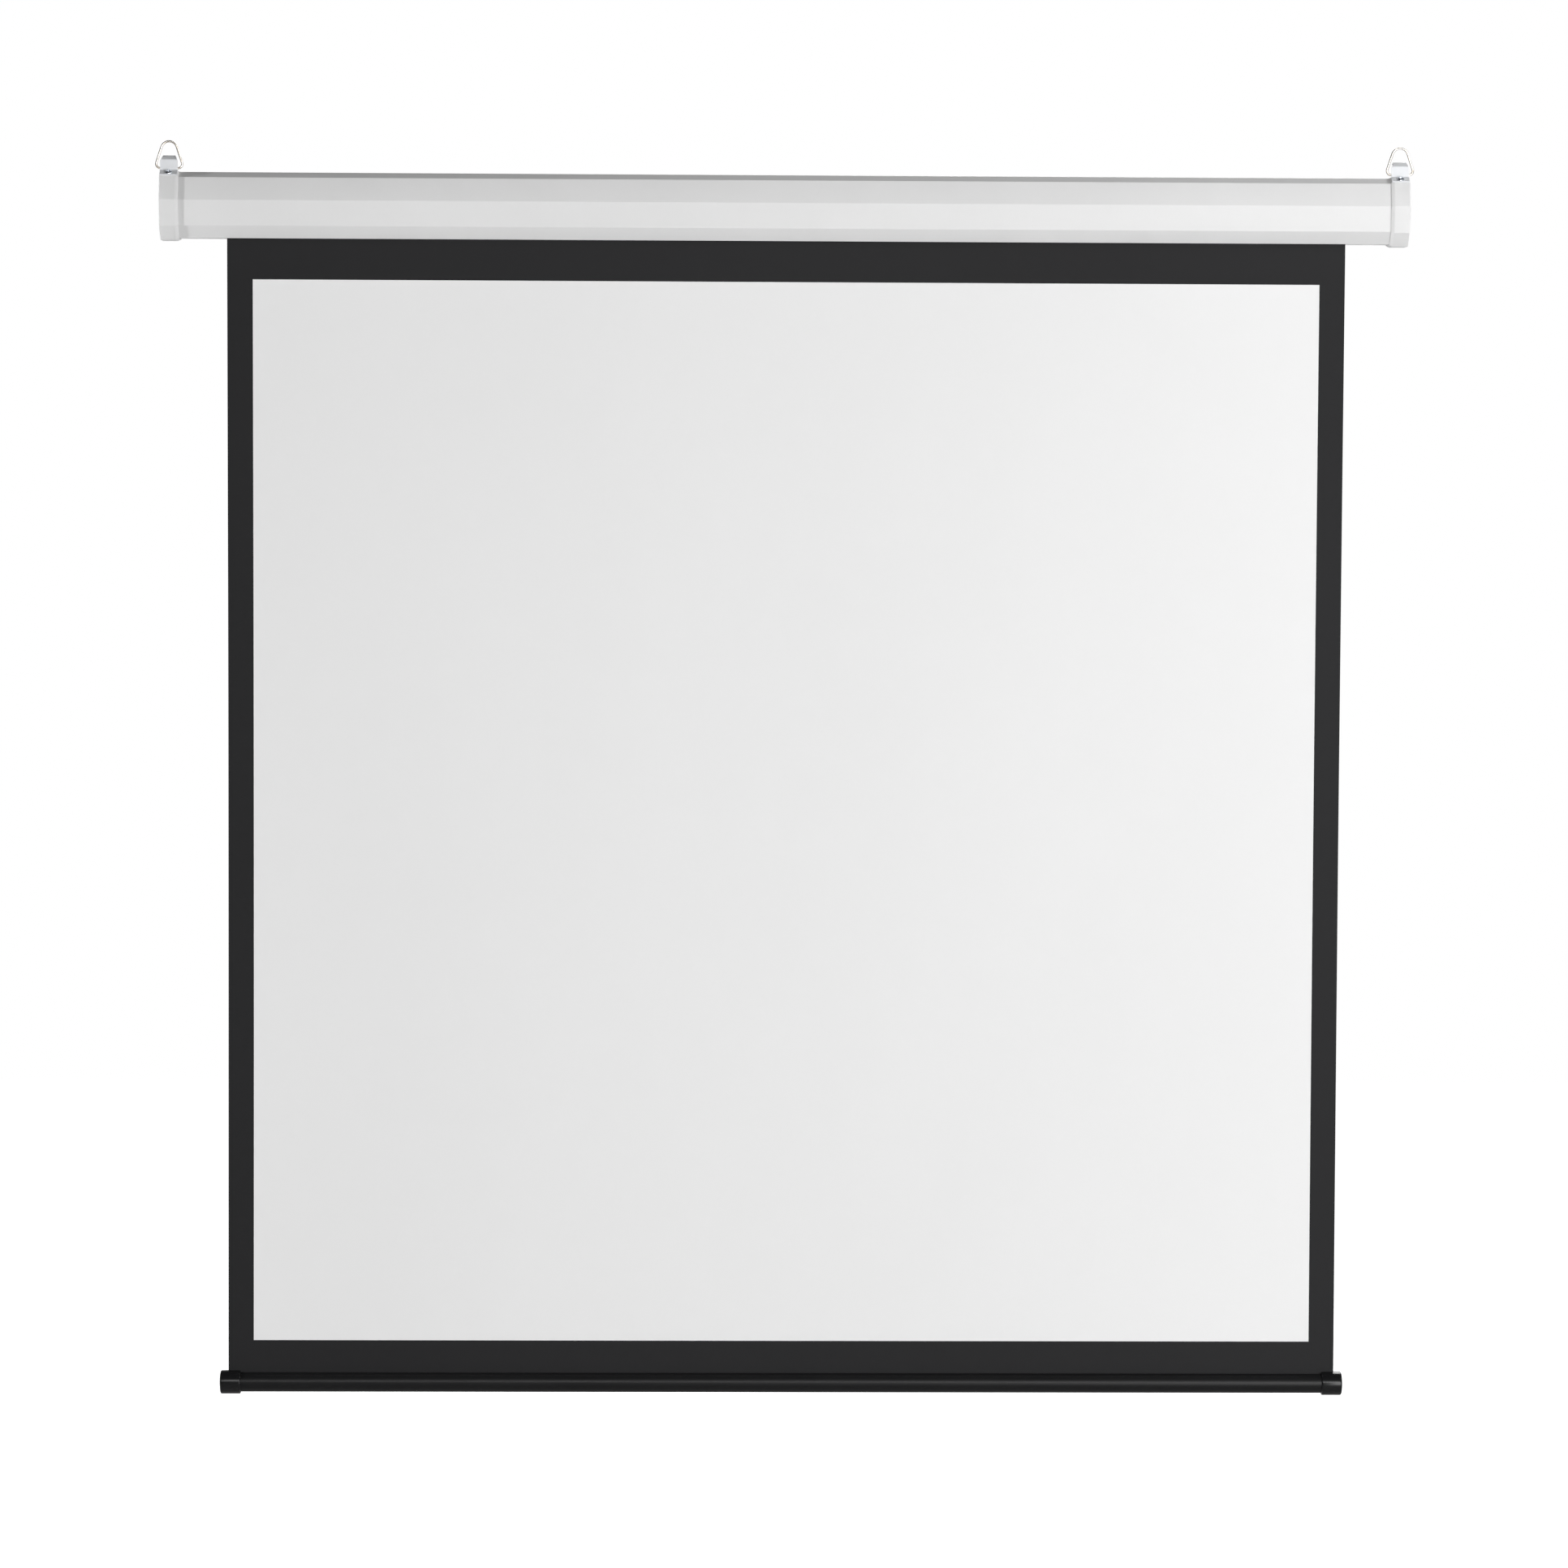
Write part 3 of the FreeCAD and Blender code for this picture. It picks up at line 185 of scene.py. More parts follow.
class Graph:
    """A node tree that is filled through one method."""

    def __init__(self, tree: bpy.types.NodeTree) -> None:
        """Takes over a shader or geometry tree and empties it."""
        self.tree = tree
        tree.nodes.clear()

    def node(
        self,
        kind: str,
        settings: dict[str, object] | None = None,
        sockets: dict[str | int, Value] | None = None,
    ) -> Made:
        """Adds a node.

        Args:
            kind: The node's type.
            settings: What is set on the node itself, before its sockets.
            sockets: A value or a signal for each input named.

        Returns:
            The node.
        """
        node = self.tree.nodes.new(kind)
        for name, value in (settings or {}).items():
            setattr(node, name, value)
        for key, value in (sockets or {}).items():
            target = find_socket(node.inputs, key)
            if isinstance(value, Signal):
                self.tree.links.new(value.socket, target)
            elif value is not None:
                target.default_value = value
        return Made(self, node)

    def mixed(self, factor: Value, first: Value, second: Value) -> Signal:
        """The first colour at a factor of 0, blended into the second at 1."""
        ends = {"Factor_Float": factor, "A_Color": first, "B_Color": second}
        return self.node("ShaderNodeMix", {"data_type": "RGBA"}, ends).out("Result_Color")

    def parts(self, vector: Value) -> tuple[Signal, Signal, Signal]:
        """The x, y and z of a vector."""
        split = self.node("ShaderNodeSeparateXYZ", {}, {0: vector})
        return split.out(0), split.out(1), split.out(2)

    def places(self, stretch: Triple | None = None) -> Signal:
        """Object coordinates.

        Args:
            stretch: How much each direction is multiplied by, if at all.

        Returns:
            The coordinates.
        """
        spot = self.node("ShaderNodeTexCoord").out("Object")
        if stretch is None:
            return spot
        return self.node("ShaderNodeMapping", {}, {"Vector": spot, "Scale": stretch}).out()

    def noise(self, scale: float, detail: float, stretch: Triple | None = None) -> Signal:
        """Soft noise about one half, with this many grains in a metre."""
        inputs = {"Vector": self.places(stretch), "Scale": scale, "Detail": detail}
        return self.node("ShaderNodeTexNoise", {}, inputs).out(0)

    def bands(self, direction: Axis, pitch: float) -> Signal:
        """Soft bands that repeat along one direction.

        Args:
            direction: The direction that they follow each other in.
            pitch: From one band to the next.

        Returns:
            The bands, from 0 to 1.
        """
        settings = {"wave_type": "BANDS", "bands_direction": direction.value}
        inputs = {"Vector": self.places(), "Scale": WAVE_PITCH / pitch}
        return self.node("ShaderNodeTexWave", settings, inputs).out("Fac")

    def bump(self, height: Signal, depth: float) -> Signal:
        """The normal of a relief whose height of 1 stands for this depth."""
        inputs = {"Strength": 1.0, "Distance": depth, "Height": height}
        return self.node("ShaderNodeBump", {}, inputs).out()


# Finishes


def tinted(colour: Triple, factor: float = 1.0) -> Tint:
    """A colour times a factor, with full alpha."""
    return (*(min(1.0, part * factor) for part in colour), 1.0)


@dataclass(frozen=True)
class Finish:
    """A surface finish. It builds its material once."""

    label: str
    colour: Triple
    roughness: float

    def material(self) -> bpy.types.Material:
        """Builds the material on first use.

        Returns:
            The finish's material.
        """
        name = "finish_" + self.label
        found = bpy.data.materials.get(name)
        if found is not None:
            return found
        made = bpy.data.materials.new(name)
        made.use_nodes = True
        graph = Graph(made.node_tree)
        shader = graph.node("ShaderNodeBsdfPrincipled", {}, self.sockets(graph)).out("BSDF")
        graph.node("ShaderNodeOutputMaterial", {}, {"Surface": shader})
        made.diffuse_color = tinted(self.colour)
        return made

    def sockets(self, graph: Graph) -> dict[str | int, Value]:
        """A value or a signal of the graph for each socket of the shader."""
        return {"Base Color": tinted(self.colour), "Roughness": self.roughness}

    def mottled(self, graph: Graph, pattern: Signal, share: float, gain: float) -> Signal:
        """The colour, made lighter and darker by a pattern.

        Args:
            graph: The material's graph.
            pattern: The pattern, about one half.
            share: How much lighter and darker the colour gets.
            gain: How far the pattern is stretched.

        Returns:
            The mottled colour.
        """
        dark, light = tinted(self.colour, 1.0 - share), tinted(self.colour, 1.0 + share)
        return graph.mixed(pattern.spread(gain), dark, light)


@dataclass(frozen=True)
class PowderCoat(Finish):
    """Baked powder paint: a faint orange peel and a slightly uneven gloss."""

    peel: float = 0.0016
    peel_depth: float = 0.00002
    clouding: float = 0.02
    cloud_scale: float = 9.0
    cloud_gloss: float = 0.12
    dust_scale: float = 850.0
    dust_level: float = 0.76
    dust_tone: float = 0.8
    dust_cover: float = 0.12
    specular: float = 0.4

    def sockets(self, graph: Graph) -> dict[str | int, Value]:
        """Orange peel, soft clouding and sparse pin-sized dust.

        Args:
            graph: The material's graph.

        Returns:
            A value or a signal for each socket of the shader.
        """
        peel = graph.noise(1.0 / self.peel, 1.0)
        cloud = graph.noise(self.cloud_scale, 3.0)
        dust = graph.noise(self.dust_scale, 0.0).above(self.dust_level) * self.dust_cover
        colour = self.mottled(graph, cloud, self.clouding, 1.6)
        return {
            "Base Color": graph.mixed(dust, colour, tinted(self.colour, self.dust_tone)),
            "Roughness": (cloud - 0.5) * self.cloud_gloss + self.roughness,
            "Specular IOR Level": self.specular,
            "Normal": graph.bump(peel, self.peel_depth),
        }


@dataclass(frozen=True)
class MouldedPlastic(Finish):
    """Moulded plastic: spark-eroded grain and soft flow marks."""

    grain: float = 0.0004
    grain_depth: float = 0.000012
    flow: float = 0.03
    flow_scale: float = 30.0
    flow_stretch: Triple = (0.35, 1.0, 1.0)
    uneven_gloss: float = 0.1
    specular: float = 0.5

    def sockets(self, graph: Graph) -> dict[str | int, Value]:
        """Fine grain over soft flow marks that run along X.

        Args:
            graph: The material's graph.

        Returns:
            A value or a signal for each socket of the shader.
        """
        grain = graph.noise(1.0 / self.grain, 2.0)
        flow = graph.noise(self.flow_scale, 4.0, self.flow_stretch)
        uneven = (grain - 0.5) * self.uneven_gloss + (flow - 0.5) * self.uneven_gloss
        return {
            "Base Color": self.mottled(graph, flow, self.flow, 1.8),
            "Roughness": uneven + self.roughness,
            "Specular IOR Level": self.specular,
            "Normal": graph.bump(grain, self.grain_depth),
        }


@dataclass(frozen=True)
class PlatedMetal(Finish):
    """Bright plated metal: drawn lines, soft stains and a few rubbed spots."""

    line_scale: float = 900.0
    stretch: Triple | None = None
    line_depth: float = 0.000006
    line_gloss: float = 0.16
    stain: Triple = (0.5, 0.45, 0.38)
    stained: float = 0.35
    stain_scale: float = 120.0
    stain_level: float = 0.48
    stain_edge: float = 6.0
    stain_gloss: float = 0.25

    def sockets(self, graph: Graph) -> dict[str | int, Value]:
        """Fine lines, with stains where the plating is thin.

        Args:
            graph: The material's graph.

        Returns:
            A value or a signal for each socket of the shader.
        """
        lines = graph.noise(self.line_scale, 3.0, self.stretch)
        patches = graph.noise(self.stain_scale, 4.0)
        mask = ((patches - self.stain_level) * self.stain_edge).clipped() * self.stained
        uneven = (lines - 0.5) * self.line_gloss + mask * self.stain_gloss
        return {
            "Base Color": graph.mixed(mask, tinted(self.colour), tinted(self.stain)),
            "Metallic": 1.0,
            "Roughness": uneven + self.roughness,
            "Normal": graph.bump(lines, self.line_depth),
        }


@dataclass(frozen=True)
class Galvanised(Finish):
    """Hot-dipped steel with its crystal spangle."""

    spangle: float = 0.006
    darkest: float = 0.82
    lightest: float = 1.08
    dull_scale: float = 40.0
    dull_gloss: float = 0.2
    crystal_gloss: float = 0.14
    crystal_rise: float = 0.2
    relief: float = 0.00002

    def sockets(self, graph: Graph) -> dict[str | int, Value]:
        """Crystals of different brightness, each a little rougher or smoother.

        Args:
            graph: The material's graph.

        Returns:
            A value or a signal for each socket of the shader.
        """
        inputs = {"Vector": graph.places(), "Scale": 1.0 / self.spangle}
        crystal = graph.node("ShaderNodeTexVoronoi", {}, inputs).out("Color")
        tone = graph.node("ShaderNodeSeparateColor", {}, {"Color": crystal}).out(0)
        dull = graph.noise(self.dull_scale, 3.0)
        dark, light = tinted(self.colour, self.darkest), tinted(self.colour, self.lightest)
        uneven = tone * self.crystal_gloss + (dull - 0.5) * self.dull_gloss
        return {
            "Base Color": graph.mixed(tone, dark, light),
            "Metallic": 0.9,
            "Roughness": uneven + self.roughness,
            "Normal": graph.bump(dull + tone * self.crystal_rise, self.relief),
        }


@dataclass(frozen=True)
class Vinyl(Finish):
    """Coated screen fabric: a fine matt grain over the threads of its base cloth."""

    thread: float = 0.0011
    grain_scale: float = 2600.0
    grain_share: float = 0.6
    grain_gloss: float = 0.12
    relief: float = 0.000025
    clouding: float = 0.012
    cloud_scale: float = 2.2
    cloud_stretch: Triple = (1.0, 1.0, 0.5)
    gloss: float = 0.3

    def sockets(self, graph: Graph) -> dict[str | int, Value]:
        """Grain, faint threads both ways and slow unevenness from hanging rolled.

        Args:
            graph: The material's graph.

        Returns:
            A value or a signal for each socket of the shader.
        """
        grain = graph.noise(self.grain_scale, 2.0)
        cloud = graph.noise(self.cloud_scale, 3.0, self.cloud_stretch)
        weave = graph.bands(Axis.X, self.thread) * 0.5 + graph.bands(Axis.Z, self.thread) * 0.5
        rise = grain * self.grain_share + weave * (1.0 - self.grain_share)
        return {
            "Base Color": self.mottled(graph, cloud, self.clouding, 1.8),
            "Roughness": (grain - 0.5) * self.grain_gloss + self.roughness,
            "Specular IOR Level": self.gloss,
            "Normal": graph.bump(rise, self.relief),
        }


@dataclass(frozen=True)
class Laminations(Finish):
    """Stacked iron sheets under varnish, with copper showing in the slots."""

    copper: Triple = (0.42, 0.17, 0.07)
    pitch: float = 0.001
    slot_pitch: float = 0.0055
    slot_level: float = 0.86
    darkest: float = 0.7
    lightest: float = 1.25
    ring_gloss: float = 0.15
    varnish: float = 0.5
    relief: float = 0.00004

    def sockets(self, graph: Graph) -> dict[str | int, Value]:
        """Rings across the axis, with slots of copper round it.

        Args:
            graph: The material's graph.

        Returns:
            A value or a signal for each socket of the shader.
        """
        rings = graph.bands(Axis.X, self.pitch)
        slots = graph.bands(Axis.Z, self.slot_pitch).above(self.slot_level)
        dark, light = tinted(self.colour, self.darkest), tinted(self.colour, self.lightest)
        return {
            "Base Color": graph.mixed(slots, graph.mixed(rings, dark, light), tinted(self.copper)),
            "Metallic": 0.75,
            "Roughness": rings * self.ring_gloss + self.roughness,
            "Coat Weight": slots * self.varnish,
            "Normal": graph.bump(rings, self.relief),
        }


CASE_WHITE = PowderCoat("case_white", (0.73, 0.73, 0.73), 0.46, specular=0.3)
CAP_WHITE = MouldedPlastic("cap_white", (0.73, 0.73, 0.73), 0.52, specular=0.3)
STRAP_WHITE = PowderCoat("strap_white", (0.735, 0.75, 0.77), 0.42, peel=0.0011)
RING_NICKEL = PlatedMetal("ring_nickel", (0.62, 0.57, 0.51), 0.3, 1400.0, stained=0.5)
SCREW_ZINC = PlatedMetal("screw_zinc", (0.80, 0.84, 0.90), 0.3, 2400.0, stained=0.12)
BRACKET_ZINC = PlatedMetal("bracket_zinc", (0.60, 0.61, 0.62), 0.34, 500.0, (1.0, 1.0, 0.08))
SHAFT_STEEL = PlatedMetal("shaft_steel", (0.5, 0.5, 0.5), 0.3, 900.0, (6.0, 0.4, 0.4))
DRIVE_BLACK = MouldedPlastic("drive_black", (0.03, 0.03, 0.031), 0.5)
DRIVE_STEEL = Galvanised("drive_steel", (0.42, 0.43, 0.45), 0.4, spangle=0.003)
ROLLER_STEEL = Galvanised("roller_steel", (0.62, 0.63, 0.64), 0.36)
MOTOR_IRON = Laminations("motor_iron", (0.2, 0.2, 0.21), 0.45)
ACETAL = MouldedPlastic("acetal", (0.75, 0.74, 0.70), 0.35, flow=0.015)
INLET_RUBBER = MouldedPlastic("inlet_rubber", (0.03, 0.03, 0.03), 0.75, grain=0.0007)
SHEET_WHITE = Vinyl("sheet_white", (0.80, 0.80, 0.80), 0.72)
SHEET_BLACK = Vinyl("sheet_black", (0.017, 0.017, 0.018), 0.62, clouding=0.05, gloss=0.1)
BAR_BLACK = PowderCoat(
    "bar_black", (0.009, 0.009, 0.0095), 0.36, peel=0.0013, clouding=0.06, specular=0.14,
)
BAR_CAP_BLACK = MouldedPlastic(
    "bar_cap_black", (0.008, 0.008, 0.0085), 0.23, grain=0.0006, specular=0.2,
)


# Meshes


def linked(name: str, data: bpy.types.ID) -> bpy.types.Object:
    """Puts a mesh, a lamp or a camera in the scene.

    Args:
        name: The object's name.
        data: What the object shows.

    Returns:
        The object, at the origin.
    """
    made = bpy.data.objects.new(name, data)
    bpy.context.scene.collection.objects.link(made)
    return made


def mesh_of(name: str, shape: bmesh.types.BMesh) -> bpy.types.Mesh:
    """Turns a mesh in progress into a mesh.

    Args:
        name: The mesh's name.
        shape: The mesh in progress, which is freed.

    Returns:
        The mesh.
    """
    mesh = bpy.data.meshes.new(name)
    shape.to_mesh(mesh)
    shape.free()
    return mesh


def shade(shape: bmesh.types.BMesh, sharp: float) -> None:
    """Smooths the faces and keeps the edges of a real corner crisp.

    Args:
        shape: The mesh that is changed.
        sharp: Edges that turn by more than this many degrees stay crisp.
    """
    for face in shape.faces:
        face.smooth = True
    for edge in shape.edges:
        edge.smooth = edge.calc_face_angle(math.pi) < math.radians(sharp)


def finished_piece(
    name: str, shape: bmesh.types.BMesh, finishes: Sequence[Finish], sharp: float
) -> bpy.types.Object:
    """Turns a mesh in progress into an object at the origin.

    Args:
        name: The piece's name.
        shape: The mesh in progress, which is freed.
        finishes: One finish for each material index.
        sharp: Edges that turn by more than this many degrees stay crisp.

    Returns:
        The object, linked to the scene.
    """
    shape.normal_update()
    shade(shape, sharp)
    mesh = mesh_of(name, shape)
    for finish in finishes:
        mesh.materials.append(finish.material())
    return linked(name, mesh)


def merged_copy(node: str) -> bmesh.types.BMesh:
    """Copies a solid of the frame as one closed mesh with flat faces in one piece.

    Args:
        node: The solid's name.

    Returns:
        The copy.
    """
    shape = bmesh.new()
    shape.from_mesh(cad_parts[node].data)
    bmesh.ops.remove_doubles(shape, verts=shape.verts, dist=2e-6)
    bmesh.ops.dissolve_limit(
        shape, angle_limit=math.radians(0.5), verts=shape.verts, edges=shape.edges
    )
    for face in shape.faces:
        face.material_index = 0
    return shape


def ease_edges(
    shape: bmesh.types.BMesh,
    width: float,
    steps: int,
    wanted: Callable[[bmesh.types.BMEdge], bool],
) -> None:
    """Takes the sharpness off edges.

    Args:
        shape: The mesh that is changed.
        width: How far the rounding reaches from the edge.
        steps: Faces across the rounding.
        wanted: Tells which edges are eased.
    """
    shape.normal_update()
    edges = [edge for edge in shape.edges if wanted(edge)]
    bmesh.ops.bevel(
        shape, geom=edges, offset=width, segments=steps, profile=0.5, affect="EDGES",
        clamp_overlap=True,
    )


def rounded_outline(corners: Sequence[Pair], radius: float, steps: int) -> list[Pair]:
    """Rounds the corners of a closed outline.

    Args:
        corners: The outline's corners, in order.
        radius: The radius at each corner.
        steps: Straight runs that stand for each corner.

    Returns:
        The rounded outline.
    """
    count = len(corners)
    points: list[Pair] = []
    for k, corner in enumerate(corners):
        here = Vector(corner)
        back = (Vector(corners[k - 1]) - here).normalized()
        ahead = (Vector(corners[(k + 1) % count]) - here).normalized()
        half = math.acos(max(-1.0, min(1.0, back.dot(ahead)))) / 2
        centre = here + (back + ahead).normalized() * (radius / math.sin(half))
        start = here + back * (radius / math.tan(half)) - centre
        finish = here + ahead * (radius / math.tan(half)) - centre
        sweep = start.angle_signed(finish)
        for step in range(steps + 1):
            turned = Matrix.Rotation(-sweep * step / steps, 2) @ start
            points.append(tuple(centre + turned))
    return points


def round_outline(centre: Pair, radius: float, sides: int) -> list[Pair]:
    """Points of a circle in the YZ plane, in order round it."""
    turns = [math.tau * k / sides for k in range(sides)]
    return [(centre[0] + radius * math.cos(t), centre[1] + radius * math.sin(t)) for t in turns]


def arc(centre: Pair, radius: float, start: float, stop: float, steps: int) -> list[Pair]:
    """Points of an arc in the YZ plane.

    Args:
        centre: The arc's centre.
        radius: Its radius.
        start: Its first angle, in radians.
        stop: Its last angle.
        steps: Straight runs that stand for it.

    Returns:
        The points, with both ends.
    """
    angles = spaced(start, stop, steps)
    return [(centre[0] + radius * math.cos(a), centre[1] + radius * math.sin(a)) for a in angles]


def spaced(start: float, stop: float, count: int) -> list[float]:
    """Evenly spaced places from start to stop, both included."""
    return [start + (stop - start) * k / count for k in range(count + 1)]


def add_ring(
    shape: bmesh.types.BMesh, x: float, outline: Sequence[Pair]
) -> list[bmesh.types.BMVert]:
    """Adds the points of an outline, each (y, z), to the shape at x."""
    return [shape.verts.new((x, y, z)) for y, z in outline]


def bridge(shape: bmesh.types.BMesh, first: Ring, second: Ring, skip: Iterable[int] = ()) -> None:
    """Joins two closed rings of the same count with four-sided faces.

    Args:
        shape: The mesh that is changed.
        first: One ring.
        second: The other ring.
        skip: Gaps in the ring that stay open.
    """
    count = len(first)
    for k in range(count):
        if k not in skip:
            j = (k + 1) % count
            shape.faces.new((first[k], first[j], second[j], second[k]))


def fill_end(shape: bmesh.types.BMesh, rings: Iterable[Ring]) -> None:
    """Closes an end between an outer ring and the ring inside it.

    Args:
        shape: The mesh that is changed.
        rings: The rings of that end.
    """
    edges = []
    for ring in rings:
        for a, b in zip(ring, [*ring[1:], ring[0]]):
            edges.append(shape.edges.get((a, b)))
    bmesh.ops.triangle_fill(shape, use_beauty=True, use_dissolve=False, edges=edges)


def add_tube(
    shape: bmesh.types.BMesh, ends: Pair, centre: Pair, outer: float, inner: float, sides: int
) -> None:
    """Adds a closed round tube along X.

    Args:
        shape: The mesh that is changed.
        ends: Where it starts and stops along X.
        centre: Its axis, (y, z).
        outer: Outer radius.
        inner: Inner radius.
        sides: Faces round it.
    """
    rings = []
    for x, radius in ((ends[0], outer), (ends[1], outer), (ends[1], inner), (ends[0], inner)):
        rings.append(add_ring(shape, x, round_outline(centre, radius, sides)))
    for first, second in zip(rings, [*rings[1:], rings[0]]):
        bridge(shape, first, second)


def lathe(shape: bmesh.types.BMesh, profile: Sequence[Pair], centre: Pair, sides: int) -> None:
    """Turns a profile about a line along X.

    Args:
        shape: The mesh that is changed.
        profile: Points (x, radius). A radius of 0 is a pole.
        centre: The line, (y, z).
        sides: Faces round it.
    """
    rings = [add_ring(shape, x, round_outline(centre, max(r, 1e-7), sides)) for x, r in profile]
    for first, second in zip(rings, rings[1:]):
        bridge(shape, first, second)
    bmesh.ops.remove_doubles(shape, verts=shape.verts, dist=1e-6)


def face_outwards(shape: bmesh.types.BMesh) -> None:
    """Turns every face of closed shells outwards."""
    bmesh.ops.recalc_face_normals(shape, faces=shape.faces)


def cut(piece: bpy.types.Object, tool: bpy.types.Object) -> None:
    """Cuts one mesh out of another and removes the tool.

    Args:
        piece: The object that is cut.
        tool: The object that cuts.
    """
    modifier = piece.modifiers.new("cut", "BOOLEAN")
    modifier.operation = "DIFFERENCE"
    modifier.solver = "EXACT"
    modifier.object = tool
    graph = bpy.context.evaluated_depsgraph_get()
    mesh = bpy.data.meshes.new_from_object(piece.evaluated_get(graph))
    piece.modifiers.clear()
    piece.data = mesh
    bpy.data.objects.remove(tool)


def box_tool(low: Triple, high: Triple) -> bpy.types.Object:
    """Box between two corners, for a cut.

    Args:
        low: Lowest corner.
        high: Highest corner.

    Returns:
        The box.
    """
    shape = bmesh.new()
    size = Vector(high) - Vector(low)
    place = Matrix.Translation((Vector(low) + Vector(high)) / 2)
    bmesh.ops.create_cube(shape, size=1.0, matrix=place @ Matrix.Diagonal((*size, 1.0)))
    return linked("cutter", mesh_of("cutter", shape))


# Shapes made by Geometry Nodes


class NodeShape:
    """A Geometry Nodes tree with named inputs that is turned into a plain mesh."""

    def __init__(self, label: str) -> None:
        """Starts an empty tree.

        Args:
            label: The tree's name.
        """
        self.tree = bpy.data.node_groups.new(label, "GeometryNodeTree")
        self.tree.interface.new_socket("Shape", in_out="OUTPUT", socket_type="NodeSocketGeometry")
        self.graph = Graph(self.tree)
        self.values: dict[str, float] = {}

    def size(self, name: str, value: float) -> Signal:
        """Adds a named input to the tree.

        Args:
            name: The input's name.
            value: What this piece gives it.

        Returns:
            The input, for use in the tree.
        """
        socket = self.tree.interface.new_socket(name, in_out="INPUT", socket_type="NodeSocketFloat")
        self.values[socket.identifier] = value
        return self.graph.node("NodeGroupInput").out(socket.identifier)

    def point(self, x: Value, y: Value, z: Value) -> Signal:
        """A vector from three numbers."""
        return self.graph.node("ShaderNodeCombineXYZ", {}, {0: x, 1: y, 2: z}).out()

    def position(self) -> tuple[Signal, Signal, Signal]:
        """The x, y and z of each point of whatever geometry is being placed."""
        return self.graph.parts(self.graph.node("GeometryNodeInputPosition").out())

    def placed(self, shape: Signal, x: Value, y: Value, z: Value) -> Signal:
        """Geometry with its points set to x, y and z."""
        inputs = {"Geometry": shape, "Position": self.point(x, y, z)}
        return self.graph.node("GeometryNodeSetPosition", {}, inputs).out()

    def moved(self, shape: Signal, shift: Value, turn: Value = None) -> Signal:
        """Geometry turned and then moved."""
        inputs = {"Geometry": shape, "Translation": shift, "Rotation": turn}
        return self.graph.node("GeometryNodeTransform", {}, inputs).out()

    def joined(self, shapes: Sequence[Signal]) -> Signal:
        """Puts pieces of geometry together.

        Args:
            shapes: The pieces.

        Returns:
            All of them as one.
        """
        node = self.graph.node("GeometryNodeJoinGeometry").node
        for shape in reversed(shapes):
            self.graph.tree.links.new(shape.socket, node.inputs[0])
        return Signal(self.graph, node.outputs[0])

    def close(self, shape: Signal, finish: Finish) -> None:
        """Ends the tree.

        Args:
            shape: The geometry.
            finish: The finish that all of it gets.
        """
        real = self.graph.node("GeometryNodeRealizeInstances", {}, {"Geometry": shape}).out()
        painted = self.graph.node("GeometryNodeSetMaterial", {}, {"Geometry": real})
        painted.node.inputs["Material"].default_value = finish.material()
        self.graph.node("NodeGroupOutput", {}, {0: painted.out()})

    def piece(self, sharp: float) -> bpy.types.Object:
        """Evaluates the tree once and keeps the result as a plain mesh.

        Args:
            sharp: Edges that turn by more than this many degrees stay crisp.

        Returns:
            The object, named as the tree is, with no modifier on it.
        """
        name = self.tree.name
        carrier = linked(name, bpy.data.meshes.new(name))
        modifier = carrier.modifiers.new("shape", "NODES")
        modifier.node_group = self.tree
        for identifier, value in self.values.items():
            modifier[identifier] = value
        graph = bpy.context.evaluated_depsgraph_get()
        mesh = bpy.data.meshes.new_from_object(carrier.evaluated_get(graph))
        carrier.modifiers.clear()
        carrier.data = mesh
        shape = bmesh.new()
        shape.from_mesh(mesh)
        bmesh.ops.remove_doubles(shape, verts=shape.verts, dist=1e-6)
        face_outwards(shape)
        shade(shape, sharp)
        shape.to_mesh(mesh)
        shape.free()
        return carrier


